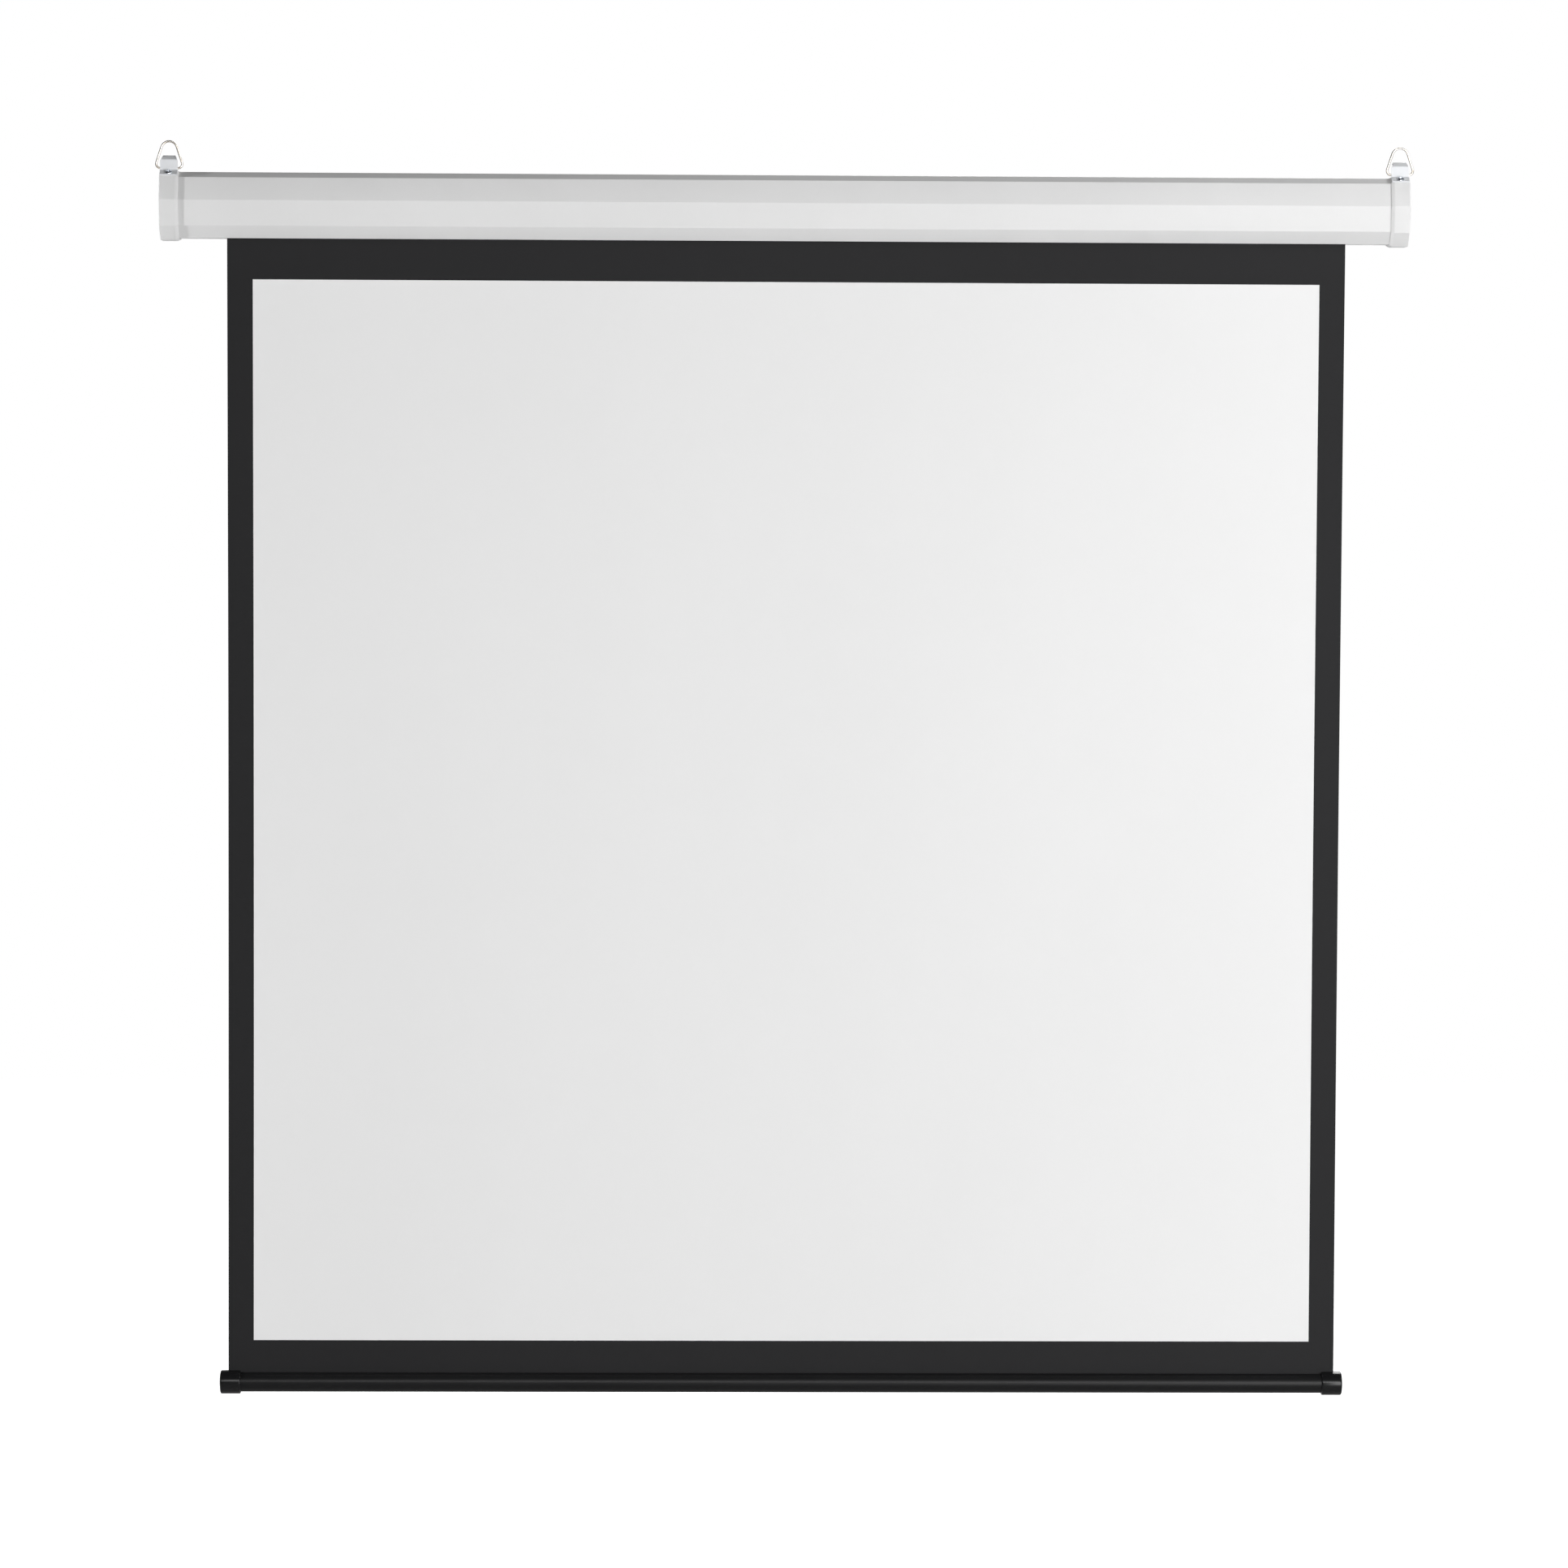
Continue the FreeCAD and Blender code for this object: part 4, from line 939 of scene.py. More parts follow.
@dataclass
class Screws:
    """Domed screw heads with a cross recess, each with its threaded shank, on their seats."""

    name: str
    radius: float
    height: float
    recess: float
    shank_length: float
    seats: Sequence[Triple]
    turns: Sequence[Triple]
    shank_radius: float = 0.00155
    sides: int = 40
    head_rings: int = 9
    face_rings: int = 6
    dome_drop: float = 0.22
    rim_draw: float = 0.2
    arm_width: float = 0.24
    arm_depth: float = 1.1
    arm_rise: float = 0.9
    arm_taper: float = 0.6
    shank_sides: int = 16
    shank_steps: int = 24
    thread_depth: float = 0.16
    crisp: float = 32.0

    def build(self) -> bpy.types.Object:
        """Builds one screw in nodes and sets a copy on each seat.

        Returns:
            All the screws as one mesh.
        """
        shape = NodeShape(self.name)
        radius = shape.size("Head Radius", self.radius)
        height = shape.size("Head Height", self.height)
        recess = shape.size("Recess Width", self.recess)
        length = shape.size("Shank Length", self.shank_length)
        core = shape.size("Shank Radius", self.shank_radius)
        head = self._crossed(shape, self._head(shape, radius, height), height, recess)
        whole = shape.joined([head, self._shank(shape, core, length)])
        copies = [
            self._copy(shape, whole, seat, turn) for seat, turn in zip(self.seats, self.turns)
        ]
        shape.close(shape.joined(copies), SCREW_ZINC)
        return shape.piece(self.crisp)

    def _head(self, shape: NodeShape, radius: Signal, height: Signal) -> Signal:
        """A pan head: a cylinder whose rings are pulled onto a rounded dome.

        Args:
            shape: The tree.
            radius: The head's radius.
            height: Its height.

        Returns:
            The head, centred on the origin.
        """
        sockets = {
            "Vertices": self.sides, "Side Segments": self.head_rings,
            "Fill Segments": self.face_rings, "Radius": radius, "Depth": height,
        }
        fill = {"fill_type": "TRIANGLE_FAN"}
        disc = shape.graph.node("GeometryNodeMeshCylinder", fill, sockets).out("Mesh")
        x, y, z = shape.position()
        up = (z / height + 0.5).clipped()
        across = ((x ** 2.0 + y ** 2.0) ** 0.5 / radius).clipped()
        dome = 1.0 - across * across * self.dome_drop
        side = (1.0 - up ** 3.0) ** 0.4
        least = 1.0 - self.rim_draw
        squeeze = side * self.rim_draw + least
        scale = squeeze + up.above(0.999) * (least - squeeze)
        return shape.placed(disc, x * scale, y * scale, up * dome * height)

    def _crossed(
        self, shape: NodeShape, head: Signal, height: Signal, recess: Signal
    ) -> Signal:
        """Cuts a cross recess whose arms narrow with depth.

        Args:
            shape: The tree.
            head: The head.
            height: Its height.
            recess: Width of the cross.

        Returns:
            The head with its recess.
        """
        g = shape.graph
        cutter = {"operation": "DIFFERENCE", "solver": "EXACT"}
        node = g.node("GeometryNodeMeshBoolean", cutter, {"Mesh 1": head}).node
        for quarter in (0.0, math.pi / 2):
            size = shape.point(recess, recess * self.arm_width, height * self.arm_depth)
            box = g.node("GeometryNodeMeshCube", {}, {"Size": size}).out("Mesh")
            x, y, z = shape.position()
            depth = (z / height + self.arm_depth / 2).clipped()
            taper = depth * self.arm_taper + (1.0 - self.arm_taper)
            shift = shape.point(0.0, 0.0, height * self.arm_rise)
            arm = shape.moved(shape.placed(box, x * taper, y, z), shift, (0.0, 0.0, quarter))
            g.tree.links.new(arm.socket, node.inputs["Mesh 2"])
        return Signal(g, node.outputs["Mesh"])

    def _shank(self, shape: NodeShape, core: Signal, length: Signal) -> Signal:
        """The threaded shank: a rod with a ridge at each turn.

        Args:
            shape: The tree.
            core: The shank's radius.
            length: Its length.

        Returns:
            The shank, down from the origin.
        """
        inputs = {
            "Vertices": self.shank_sides, "Side Segments": self.shank_steps,
            "Fill Segments": 1, "Radius": core, "Depth": length,
        }
        rod = shape.graph.node("GeometryNodeMeshCylinder", {}, inputs).out("Mesh")
        x, y, z = shape.position()
        step = (z / length + 0.5) * float(self.shank_steps) + 0.5
        count = step.math("FLOOR", step)
        scale = 1.0 - count.math("MODULO", count, 2.0) * self.thread_depth
        rod = shape.placed(rod, x * scale, y * scale, z)
        return shape.moved(rod, shape.point(0.0, 0.0, length * -0.5))

    @staticmethod
    def _copy(shape: NodeShape, whole: Signal, seat: Triple, turn: Triple) -> Signal:
        """Sets an instance of the screw on a seat.

        Args:
            shape: The tree.
            whole: The screw.
            seat: Where its head sits.
            turn: Its rotation.

        Returns:
            The instance.
        """
        g = shape.graph
        spot = g.node("GeometryNodeMeshLine", {}, {"Count": 1, "Start Location": seat}).out("Mesh")
        inputs = {"Points": spot, "Instance": whole, "Rotation": turn}
        return g.node("GeometryNodeInstanceOnPoints", {}, inputs).out()


# Sub-assemblies

# Screw ports of the case, which the screws of the caps enter, each (y, z).
PORTS: tuple[Pair, ...] = (
    (-0.0005, -0.0271), (0.0315, -0.0271), (-0.008586, -0.105496), (0.039586, -0.105496),
)


@dataclass
class CaseTube:
    """The folded case: ten facets with a slot in the bottom and four screw ports inside.

    Each facet is the direction that it faces, in degrees, and its distance from the centre.
    """

    length: float = 1.770
    centre: Pair = (0.0155, -0.070)
    wall: float = 0.0012
    bend: float = 0.0009
    inner_bend: float = 0.0003
    bend_steps: int = 4
    facets: tuple[Pair, ...] = (
        (90.0, 0.0467), (56.0, 0.0516), (13.0, 0.0424), (-10.0, 0.0402), (-45.5, 0.0460),
        (-90.0, 0.0467), (-134.5, 0.0460), (-170.0, 0.0402), (-193.0, 0.0424), (-236.0, 0.0516),
    )
    slot: Pair = (-0.00195, 0.00925)
    slot_length: float = 1.676
    port_outer: float = 0.0032
    port_inner: float = 0.0016
    port_inset: float = 0.0004
    port_sides: int = 20
    crisp: float = 20.0

    def corners(self, inset: float = 0.0) -> list[Pair]:
        """Corners of the section.

        Args:
            inset: How far every facet is moved inwards.

        Returns:
            The corners (y, z), clockwise from the top rear.
        """
        found = []
        for facet, following in zip(self.facets, [*self.facets[1:], self.facets[0]]):
            facing, beyond = math.radians(facet[0]), math.radians(following[0])
            reach, next_reach = facet[1] - inset, following[1] - inset
            turn = math.sin(beyond - facing)
            y = (reach * math.sin(beyond) - next_reach * math.sin(facing)) / turn
            z = (next_reach * math.cos(facing) - reach * math.cos(beyond)) / turn
            found.append((self.centre[0] + y, self.centre[1] + z))
        return found

    def build(self) -> bpy.types.Object:
        """Builds the case tube in place of the plain solid.

        Returns:
            The case tube.
        """
        shape = bmesh.new()
        outer = self._with_slot(rounded_outline(self.corners(), self.bend, self.bend_steps))
        inner = self._with_slot(
            rounded_outline(self.corners(self.wall), self.inner_bend, self.bend_steps)
        )
        half = self.length / 2
        mouth = self.slot_length / 2
        stations = (-half, -mouth, mouth, half)
        skins = [[add_ring(shape, x, ring) for x in stations] for ring in (outer, inner)]
        gap = next(k for k, point in enumerate(outer) if self._on_slot(point))
        for skin in skins:
            bridge(shape, skin[0], skin[1])
            bridge(shape, skin[1], skin[2], skip=(gap,))
            bridge(shape, skin[2], skin[3])
        for station in (0, 3):
            bridge(shape, skins[0][station], skins[1][station])
        self._close_slot(shape, skins, gap)
        face_outwards(shape)
        ends = (self.port_inset - half, half - self.port_inset)
        for port in PORTS:
            add_tube(shape, ends, port, self.port_outer, self.port_inner, self.port_sides)
        face_outwards(shape)
        piece = finished_piece("case_tube", shape, [CASE_WHITE], self.crisp)
        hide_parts("case_profile")
        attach(piece, "housing")
        return piece

    def _with_slot(self, ring: Sequence[Pair]) -> list[Pair]:
        """Adds the slot's two lines to the bottom facet.

        Args:
            ring: A section without the slot.

        Returns:
            The section with a point at each line of the slot.
        """
        done: list[Pair] = []
        for point, following in zip(ring, [*ring[1:], ring[0]]):
            done.append(point)
            low, high = sorted((point[0], following[0]))
            level = abs(point[1] - following[1]) < 1e-7 and point[1] < self.centre[1]
            if level and low < self.slot[0] and high > self.slot[1]:
                rising = following[0] > point[0]
                first, second = self.slot if rising else self.slot[::-1]
                done += [(first, point[1]), (second, point[1])]
        return done

    def _on_slot(self, point: Pair) -> bool:
        """Whether a point starts the slot's gap."""
        return point[0] in self.slot and point[1] < self.centre[1]

    @staticmethod
    def _close_slot(shape: bmesh.types.BMesh, skins: list[list[Ring]], gap: int) -> None:
        """Adds the four small walls of the slot.

        Args:
            shape: The mesh that is changed.
            skins: The rings of the outer and of the inner skin.
            gap: Where the slot starts in each ring.
        """
        outer, inner = skins
        for k in (gap, gap + 1):
            shape.faces.new((outer[1][k], outer[2][k], inner[2][k], inner[1][k]))
        for station in (1, 2):
            o, i = outer[station], inner[station]
            shape.faces.new((o[gap], o[gap + 1], i[gap + 1], i[gap]))


@dataclass
class EasedPair:
    """A part that both ends of the case have, as in the frame but with eased edges."""

    part: str
    piece: str
    slot: str
    finish: Finish
    edge: float
    longest_hole_edge: float
    least_turn: float
    crisp: float

    def build(self) -> list[bpy.types.Object]:
        """Builds the part at both ends in place of the plain solids.

        Returns:
            The left one and the right one.
        """
        made = []
        for end in End:
            node = end.label + self.part
            shape = merged_copy(node)
            ease_edges(shape, self.edge, 2, self._is_eased)
            piece = finished_piece(end.label + self.piece, shape, [self.finish], self.crisp)
            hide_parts(node)
            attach(piece, "housing")
            made.append(piece)
        return made

    def _is_eased(self, edge: bmesh.types.BMEdge) -> bool:
        """Whether an edge is an outer one that turns enough, and not round a hole."""
        long = edge.calc_length() > self.longest_hole_edge
        return long and edge.calc_face_angle(0.0) > math.radians(self.least_turn) and edge.is_convex


END_CAPS = EasedPair(
    "_end_cap", "_moulded_cap", "cap_white", CAP_WHITE,
    edge=0.0007, longest_hole_edge=0.0035, least_turn=12.0, crisp=24.0,
)
HANGER_STRAPS = EasedPair(
    "_hanger_strap", "_bent_strap", "strap_white", STRAP_WHITE,
    edge=0.00025, longest_hole_edge=0.0012, least_turn=50.0, crisp=30.0,
)


@dataclass
class HangingRings:
    """Two bent wire triangles that hang in the straps."""

    wire: float = 0.0030
    width: float = 0.040
    height: float = 0.041
    top_bend: float = 0.0115
    corner_bend: float = 0.006
    axis: Pair = (-0.0092, -0.0182)
    offset: float = 0.8785
    bend_points: int = 14
    wire_sides: int = 20
    crisp: float = 60.0

    def build(self) -> list[bpy.types.Object]:
        """Builds both rings in place of the plain solids.

        Returns:
            The left ring and the right ring.
        """
        made = []
        for end in End:
            piece = self._ring(end.label + "_wire_ring", end.value * self.offset)
            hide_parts(end.label + "_ring")
            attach(piece, end.label + "_ring")
            made.append(piece)
        return made

    def _ring(self, name: str, x: float) -> bpy.types.Object:
        """Sweeps the wire round a triangle with filleted corners, in nodes.

        Args:
            name: The ring's name.
            x: Where it hangs.

        Returns:
            The ring.
        """
        shape = NodeShape(name)
        g = shape.graph
        wire = shape.size("Wire Radius", self.wire / 2)
        top = shape.size("Top Bend", self.top_bend)
        corner = shape.size("Corner Bend", self.corner_bend)
        apex, foot = self._sharp_triangle()
        peak = shape.size("Sharp Apex", apex)
        reach = shape.size("Sharp Foot", foot)
        line = g.node("GeometryNodeMeshCircle", {"fill_type": "NONE"}, {"Vertices": 3}).out("Mesh")
        index = g.node("GeometryNodeInputIndex").out()
        is_top = 1.0 - index.above(0.5)
        side = index.above(1.5) * 2.0 - 1.0
        line = shape.placed(line, side * reach * (1.0 - is_top), 0.0, is_top * peak)
        curve = g.node("GeometryNodeMeshToCurve", {}, {"Mesh": line}).out()
        up = shape.position()[2]
        bend = corner + up.above(apex / 2) * (top - corner)
        inputs = {
            "Curve": curve, "Count": self.bend_points, "Radius": bend, "Limit Radius": False,
        }
        curve = g.node("GeometryNodeFilletCurve", {"mode": "POLY"}, inputs).out()
        inputs = {"Resolution": self.wire_sides, "Radius": wire}
        mode = {"mode": "RADIUS"}
        section = g.node("GeometryNodeCurvePrimitiveCircle", mode, inputs).out("Curve")
        inputs = {"Curve": curve, "Profile Curve": section}
        tube = g.node("GeometryNodeCurveToMesh", {}, inputs).out()
        shape.close(shape.moved(tube, (x, *self.axis)), RING_NICKEL)
        return shape.piece(self.crisp)

    def _sharp_triangle(self) -> Pair:
        """The triangle as it is before its corners are bent.

        Returns:
            Height of the apex and half the width of the foot.
        """
        half = (self.width - self.wire) / 2
        rise = self.height - self.wire
        low = half - self.corner_bend
        up = rise - self.top_bend - self.corner_bend
        lean = math.atan2(low, up)
        gap = math.hypot(low, up)
        slope = lean - math.asin((self.top_bend - self.corner_bend) / gap)
        apex = rise - self.top_bend + self.top_bend / math.sin(slope)
        return apex, apex * math.tan(slope)


@dataclass
class Fasteners:
    """Every screw that shows, and those inside the case.

    Each head is its radius, its height and the width of its cross.
    """

    strap_seat: Triple = (0.8785, -0.019137, -0.024729)
    strap_lean: float = 34.0
    strap_spins: Pair = (0.5, 0.2)
    strap_head: Triple = (0.0052, 0.0026, 0.0058)
    strap_shank: float = 0.009
    row_head: Triple = (0.0038, 0.0022, 0.0042)
    first_spin: float = 0.3
    next_spin: float = 0.7
    cap_face: float = 0.8898
    cap_shank: float = 0.020
    bracket_face: float = 0.881
    bracket_shank: float = 0.007
    bracket_screws: tuple[Pair, ...] = ((0.0235, -0.038), (0.0235, -0.100), (-0.0075, -0.069))

    def build(self) -> list[bpy.types.Object]:
        """Builds the three rows of screws in place of the plain solids.

        Returns:
            The screws of the straps, the caps and the brackets.
        """
        x, y, z = self.strap_seat
        lean = math.radians(self.strap_lean)
        strap = Screws(
            "strap_foot_screws", *self.strap_head, self.strap_shank, [(-x, y, z), (x, y, z)],
            [self._aimed(Axis.X, lean, spin) for spin in self.strap_spins],
        )
        cap = self._row("cap_face_screws", self.cap_face, PORTS, self.cap_shank, 1.0)
        bracket = self._row(
            "bracket_face_screws", self.bracket_face, self.bracket_screws, self.bracket_shank, -1.0
        )
        made = []
        for screws, node in (
            (strap, "strap_screws"), (cap, "cap_screws"), (bracket, "bracket_screws"),
        ):
            piece = screws.build()
            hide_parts(node)
            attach(piece, "housing")
            made.append(piece)
        return made

    def _row(
        self, name: str, face: float, places: Sequence[Pair], length: float, outward: float
    ) -> Screws:
        """Screws along X on both ends of the case.

        Args:
            name: The row's name.
            face: Distance of the seats from the middle.
            places: Seats on one end, each (y, z).
            length: Length of the shank.
            outward: 1 where the heads look away from the middle and -1 towards it.

        Returns:
            The row.
        """
        seats, turns = [], []
        for end in End:
            lean = end.value * outward * math.pi / 2
            for k, (y, z) in enumerate(places):
                seats.append((end.value * face, y, z))
                turns.append(self._aimed(Axis.Y, lean, self.first_spin + self.next_spin * k))
        return Screws(name, *self.row_head, length, seats, turns)

    @staticmethod
    def _aimed(axis: Axis, lean: float, spin: float) -> Triple:
        """Turns of a screw spun on its own axis and then leant over.

        Args:
            axis: Axis that it leans about.
            lean: How far it leans, in radians.
            spin: How far it is spun, in radians.

        Returns:
            The turns about X, Y and Z.
        """
        spun = Matrix.Rotation(spin, 3, Axis.Z.value)
        return tuple((Matrix.Rotation(lean, 3, axis.value) @ spun).to_euler())


@dataclass
class Cloth:
    """The edges and the faces of the screen's cloth, where it hangs."""

    left: float = -0.7973
    right: float = 0.8027
    front: float = 0.0018
    back: float = 0.00225


@dataclass
class ScreenSheet(Cloth):
    """The hanging sheet: a white picture area with a black border, black at the back.

    Each side wave is how fast it goes down the sheet and across it, and its share of the ripple.
    """

    top: float = -0.069
    foot: float = -1.702
    picture_left: float = -0.7608
    picture_right: float = 0.7662
    picture_top: float = -0.175
    columns: int = 56
    rows: int = 60
    border_columns: int = 4
    border_rows: int = 8
    held: float = 0.04
    bow: float = 0.0009
    ripple: float = 0.0011
    hollow: float = 0.35
    hollow_curve: float = 2.2
    side_waves: tuple[Triple, ...] = ((7.0, 2.0, 0.45), (17.0, -1.0, 0.3))
    crisp: float = 60.0

    def build(self) -> bpy.types.Object:
        """Builds the sheet in place of the two plain strips.

        Returns:
            The sheet.
        """
        shape = bmesh.new()
        xs = spaced(self.left, self.picture_left, self.border_columns)
        xs += spaced(self.picture_left, self.picture_right, self.columns)[1:]
        xs += spaced(self.picture_right, self.right, self.border_columns)[1:]
        zs = spaced(self.top, self.picture_top, self.border_rows)
        zs += spaced(self.picture_top, self.foot, self.rows)[1:]
        grids = []
        for depth in (self.front, self.back):
            grids.append([[shape.verts.new(self._place(x, depth, z)) for x in xs] for z in zs])
        for layer, grid in enumerate(grids):
            self._face(shape, grid, xs, zs, layer == 0)
        bridge(shape, *(self._edge_of(grid) for grid in grids))
        face_outwards(shape)
        piece = finished_piece("screen_sheet", shape, [SHEET_BLACK, SHEET_WHITE], self.crisp)
        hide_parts("sheet_backing", "white_facing")
        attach(piece, "housing")
        return piece

    def _place(self, x: float, y: float, z: float) -> Triple:
        """Draws the sides in and adds a slow ripple, more of it near the sides.

        Args:
            x: A place across the flat sheet.
            y: One of its faces.
            z: A height on it.

        Returns:
            The point of the hanging sheet.
        """
        middle = (self.left + self.right) / 2
        across = (x - middle) / (self.right - middle)
        down = (self.top - z) / (self.top - self.foot)
        free = min(1.0, max(0.0, (down - self.held) / (1.0 - self.held)))
        belly = math.sin(math.pi * free)
        wave = sum(
            share * math.sin(fall * down + slant * across)
            for fall, slant, share in self.side_waves
        )
        hollow = self.hollow * math.cos(self.hollow_curve * across) * belly
        lift = self.ripple * belly * (abs(across) ** 6 * wave - hollow)
        return (x - self.bow * across ** 3 * belly, y + lift, z)

    def _face(
        self, shape: bmesh.types.BMesh, grid: list[Ring], xs: Sequence[float],
        zs: Sequence[float], is_front: bool,
    ) -> None:
        """Fills one face of the sheet.

        Args:
            shape: The mesh that is changed.
            grid: The face's points, row by row.
            xs: Places of its columns.
            zs: Heights of its rows.
            is_front: Whether it carries the white picture area.
        """
        for r in range(len(zs) - 1):
            for c in range(len(xs) - 1):
                corners = (grid[r][c], grid[r][c + 1], grid[r + 1][c + 1], grid[r + 1][c])
                face = shape.faces.new(corners)
                x, z = (xs[c] + xs[c + 1]) / 2, (zs[r] + zs[r + 1]) / 2
                inside = self.picture_left < x < self.picture_right and z < self.picture_top
                face.material_index = int(is_front and inside)

    @staticmethod
    def _edge_of(grid: list[Ring]) -> list[bmesh.types.BMVert]:
        """The points round the edge of a face, in order."""
        right, left = [row[-1] for row in grid[:-1]], [row[0] for row in grid[1:]]
        return [*grid[0][:-1], *right, *grid[-1][:0:-1], *left[::-1]]


@dataclass
class WoundSheet(Cloth):
    """The turns of sheet left on the roller, as one spiral."""

    axis: Pair = (0.0235, -0.069)
    start_radius: float = 0.020275
    end_radius: float = 0.021475
    turns: float = 2.0
    turn_points: int = 96
    crisp: float = 30.0

    def build(self) -> bpy.types.Object:
        """Sweeps the sheet's edge along a spiral in nodes.

        Returns:
            The turns.
        """
        shape = NodeShape("wound_turns")
        g = shape.graph
        start = shape.size("Start Radius", self.start_radius)
        end = shape.size("End Radius", self.end_radius)
        turns = shape.size("Turns", self.turns)
        width = shape.size("Width", self.right - self.left)
        thick = shape.size("Thickness", self.back - self.front)
        sockets = {
            "Resolution": self.turn_points, "Rotations": turns, "Start Radius": start,
            "End Radius": end, "Height": 0.0,
        }
        spiral = g.node("GeometryNodeCurveSpiral", {}, sockets).out()
        inputs = {"Width": thick, "Height": width}
        flat = {"mode": "RECTANGLE"}
        section = g.node("GeometryNodeCurvePrimitiveQuadrilateral", flat, inputs).out()
        inputs = {"Curve": spiral, "Profile Curve": section, "Fill Caps": True}
        roll = g.node("GeometryNodeCurveToMesh", {}, inputs).out()
        upright = shape.moved(roll, None, (0.0, math.pi / 2, 0.0))
        turned = shape.moved(upright, None, (-math.pi / 2, 0.0, 0.0))
        shift = ((self.left + self.right) / 2, *self.axis)
        shape.close(shape.moved(turned, shift), SHEET_BLACK)
        piece = shape.piece(self.crisp)
        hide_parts("wound_sheet")
        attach(piece, "roller")
        return piece

    def flat_length(self) -> float:
        """Length of sheet in the turns."""
        return math.tau * self.turns * (self.start_radius + self.end_radius) / 2


@dataclass
class HemBand(Cloth):
    """The foot of the sheet, folded round the hem rod."""

    top: float = -1.702
    rod_z: float = -1.75365
    rod_radius: float = 0.0022
    gap: float = 0.00005
    loop_steps: int = 28
    hole_sides: int = 24
    rows: int = 8
    columns: int = 24
    crisp: float = 50.0

    def build(self) -> bpy.types.Object:
        """Builds the band in place of the plain solid.

        Returns:
            The band.
        """
        shape = bmesh.new()
        middle = (self.front + self.back) / 2
        thickness = self.back - self.front
        inner = self.rod_radius + self.gap
        outer = inner + thickness
        spread = math.asin(thickness / 2 / outer)
        first = math.pi / 2 + spread
        eye = (middle, self.rod_z)
        loop = arc(eye, outer, first, first + math.tau - 2 * spread, self.loop_steps)
        down = [(self.front, z) for z in spaced(self.top, loop[0][1], self.rows)[:-1]]
        up = [(self.back, z) for z in spaced(self.top, loop[-1][1], self.rows)[:-1]]
        skins = []
        for line in (down + loop + up[::-1], round_outline(eye, inner, self.hole_sides)):
            rings = [add_ring(shape, x, line) for x in spaced(self.left, self.right, self.columns)]
            for one, following in zip(rings, rings[1:]):
                bridge(shape, one, following)
            skins.append(rings)
        for station in (0, -1):
            fill_end(shape, [rings[station] for rings in skins])
        face_outwards(shape)
        piece = finished_piece("folded_hem", shape, [SHEET_BLACK], self.crisp)
        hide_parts("hem_band")
        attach(piece, "bottom_bar")
        return piece

    def flat_length(self) -> float:
        """Length of sheet in the band."""
        round_rod = math.tau * (self.rod_radius + self.gap + (self.back - self.front) / 2)
        return self.top - self.rod_z + round_rod - self.rod_radius


@dataclass
class BottomBar:
    """The round tube at the foot, open along its top for the hem."""

    left: float = -0.8073
    right: float = 0.8127
    centre: Pair = (0.002025, -1.763)
    radius: float = 0.014
    wall: float = 0.0015
    mouth: float = 0.0016
    channel: float = 0.00315
    channel_wall: float = 0.0012
    channel_z: float = -1.75365
    shell_steps: int = 120
    channel_steps: int = 28
    bore_steps: int = 80
    swell_steps: int = 24
    crisp: float = 24.0

    def build(self) -> bpy.types.Object:
        """Builds the tube in place of the plain solid.

        Returns:
            The tube.
        """
        shape = bmesh.new()
        skins = []
        for line in (self._outside(), self._hollow()):
            skin = [add_ring(shape, x, line) for x in (self.left, self.right)]
            bridge(shape, *skin)
            skins.append(skin)
        for end in (0, 1):
            fill_end(shape, [skin[end] for skin in skins])
        face_outwards(shape)
        piece = finished_piece("bar_tube", shape, [BAR_BLACK], self.crisp)
        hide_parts("bottom_tube")
        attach(piece, "bottom_bar")
        return piece

    def _outside(self) -> list[Pair]:
        """The outer face, the mouth and the hem channel.

        Returns:
            One closed line.
        """
        top = math.pi / 2
        lip = math.asin(self.mouth / 2 / self.radius)
        throat = math.asin(self.mouth / 2 / self.channel)
        well = (self.centre[0], self.channel_z)
        shell = arc(self.centre, self.radius, top + lip, top + math.tau - lip, self.shell_steps)
        keyhole = arc(
            well, self.channel, top - throat, top - math.tau + throat, self.channel_steps
        )
        return shell + keyhole

    def _hollow(self) -> list[Pair]:
        """The hollow inside, below the hem channel.

        Returns:
            One closed line.
        """
        bore = self.radius - self.wall
        swell = self.channel + self.channel_wall
        rise = self.channel_z - self.centre[1]
        z = (bore * bore - swell * swell + rise * rise) / (2 * rise)
        y = math.sqrt(bore * bore - z * z)
        main = math.atan2(z, y)
        low = math.atan2(z - rise, y)
        well = (self.centre[0], self.channel_z)
        shell = arc(self.centre, bore, math.pi - main, math.tau + main, self.bore_steps)
        under = arc(well, swell, low, -math.pi - low, self.swell_steps)
        return shell[:-1] + under[:-1]


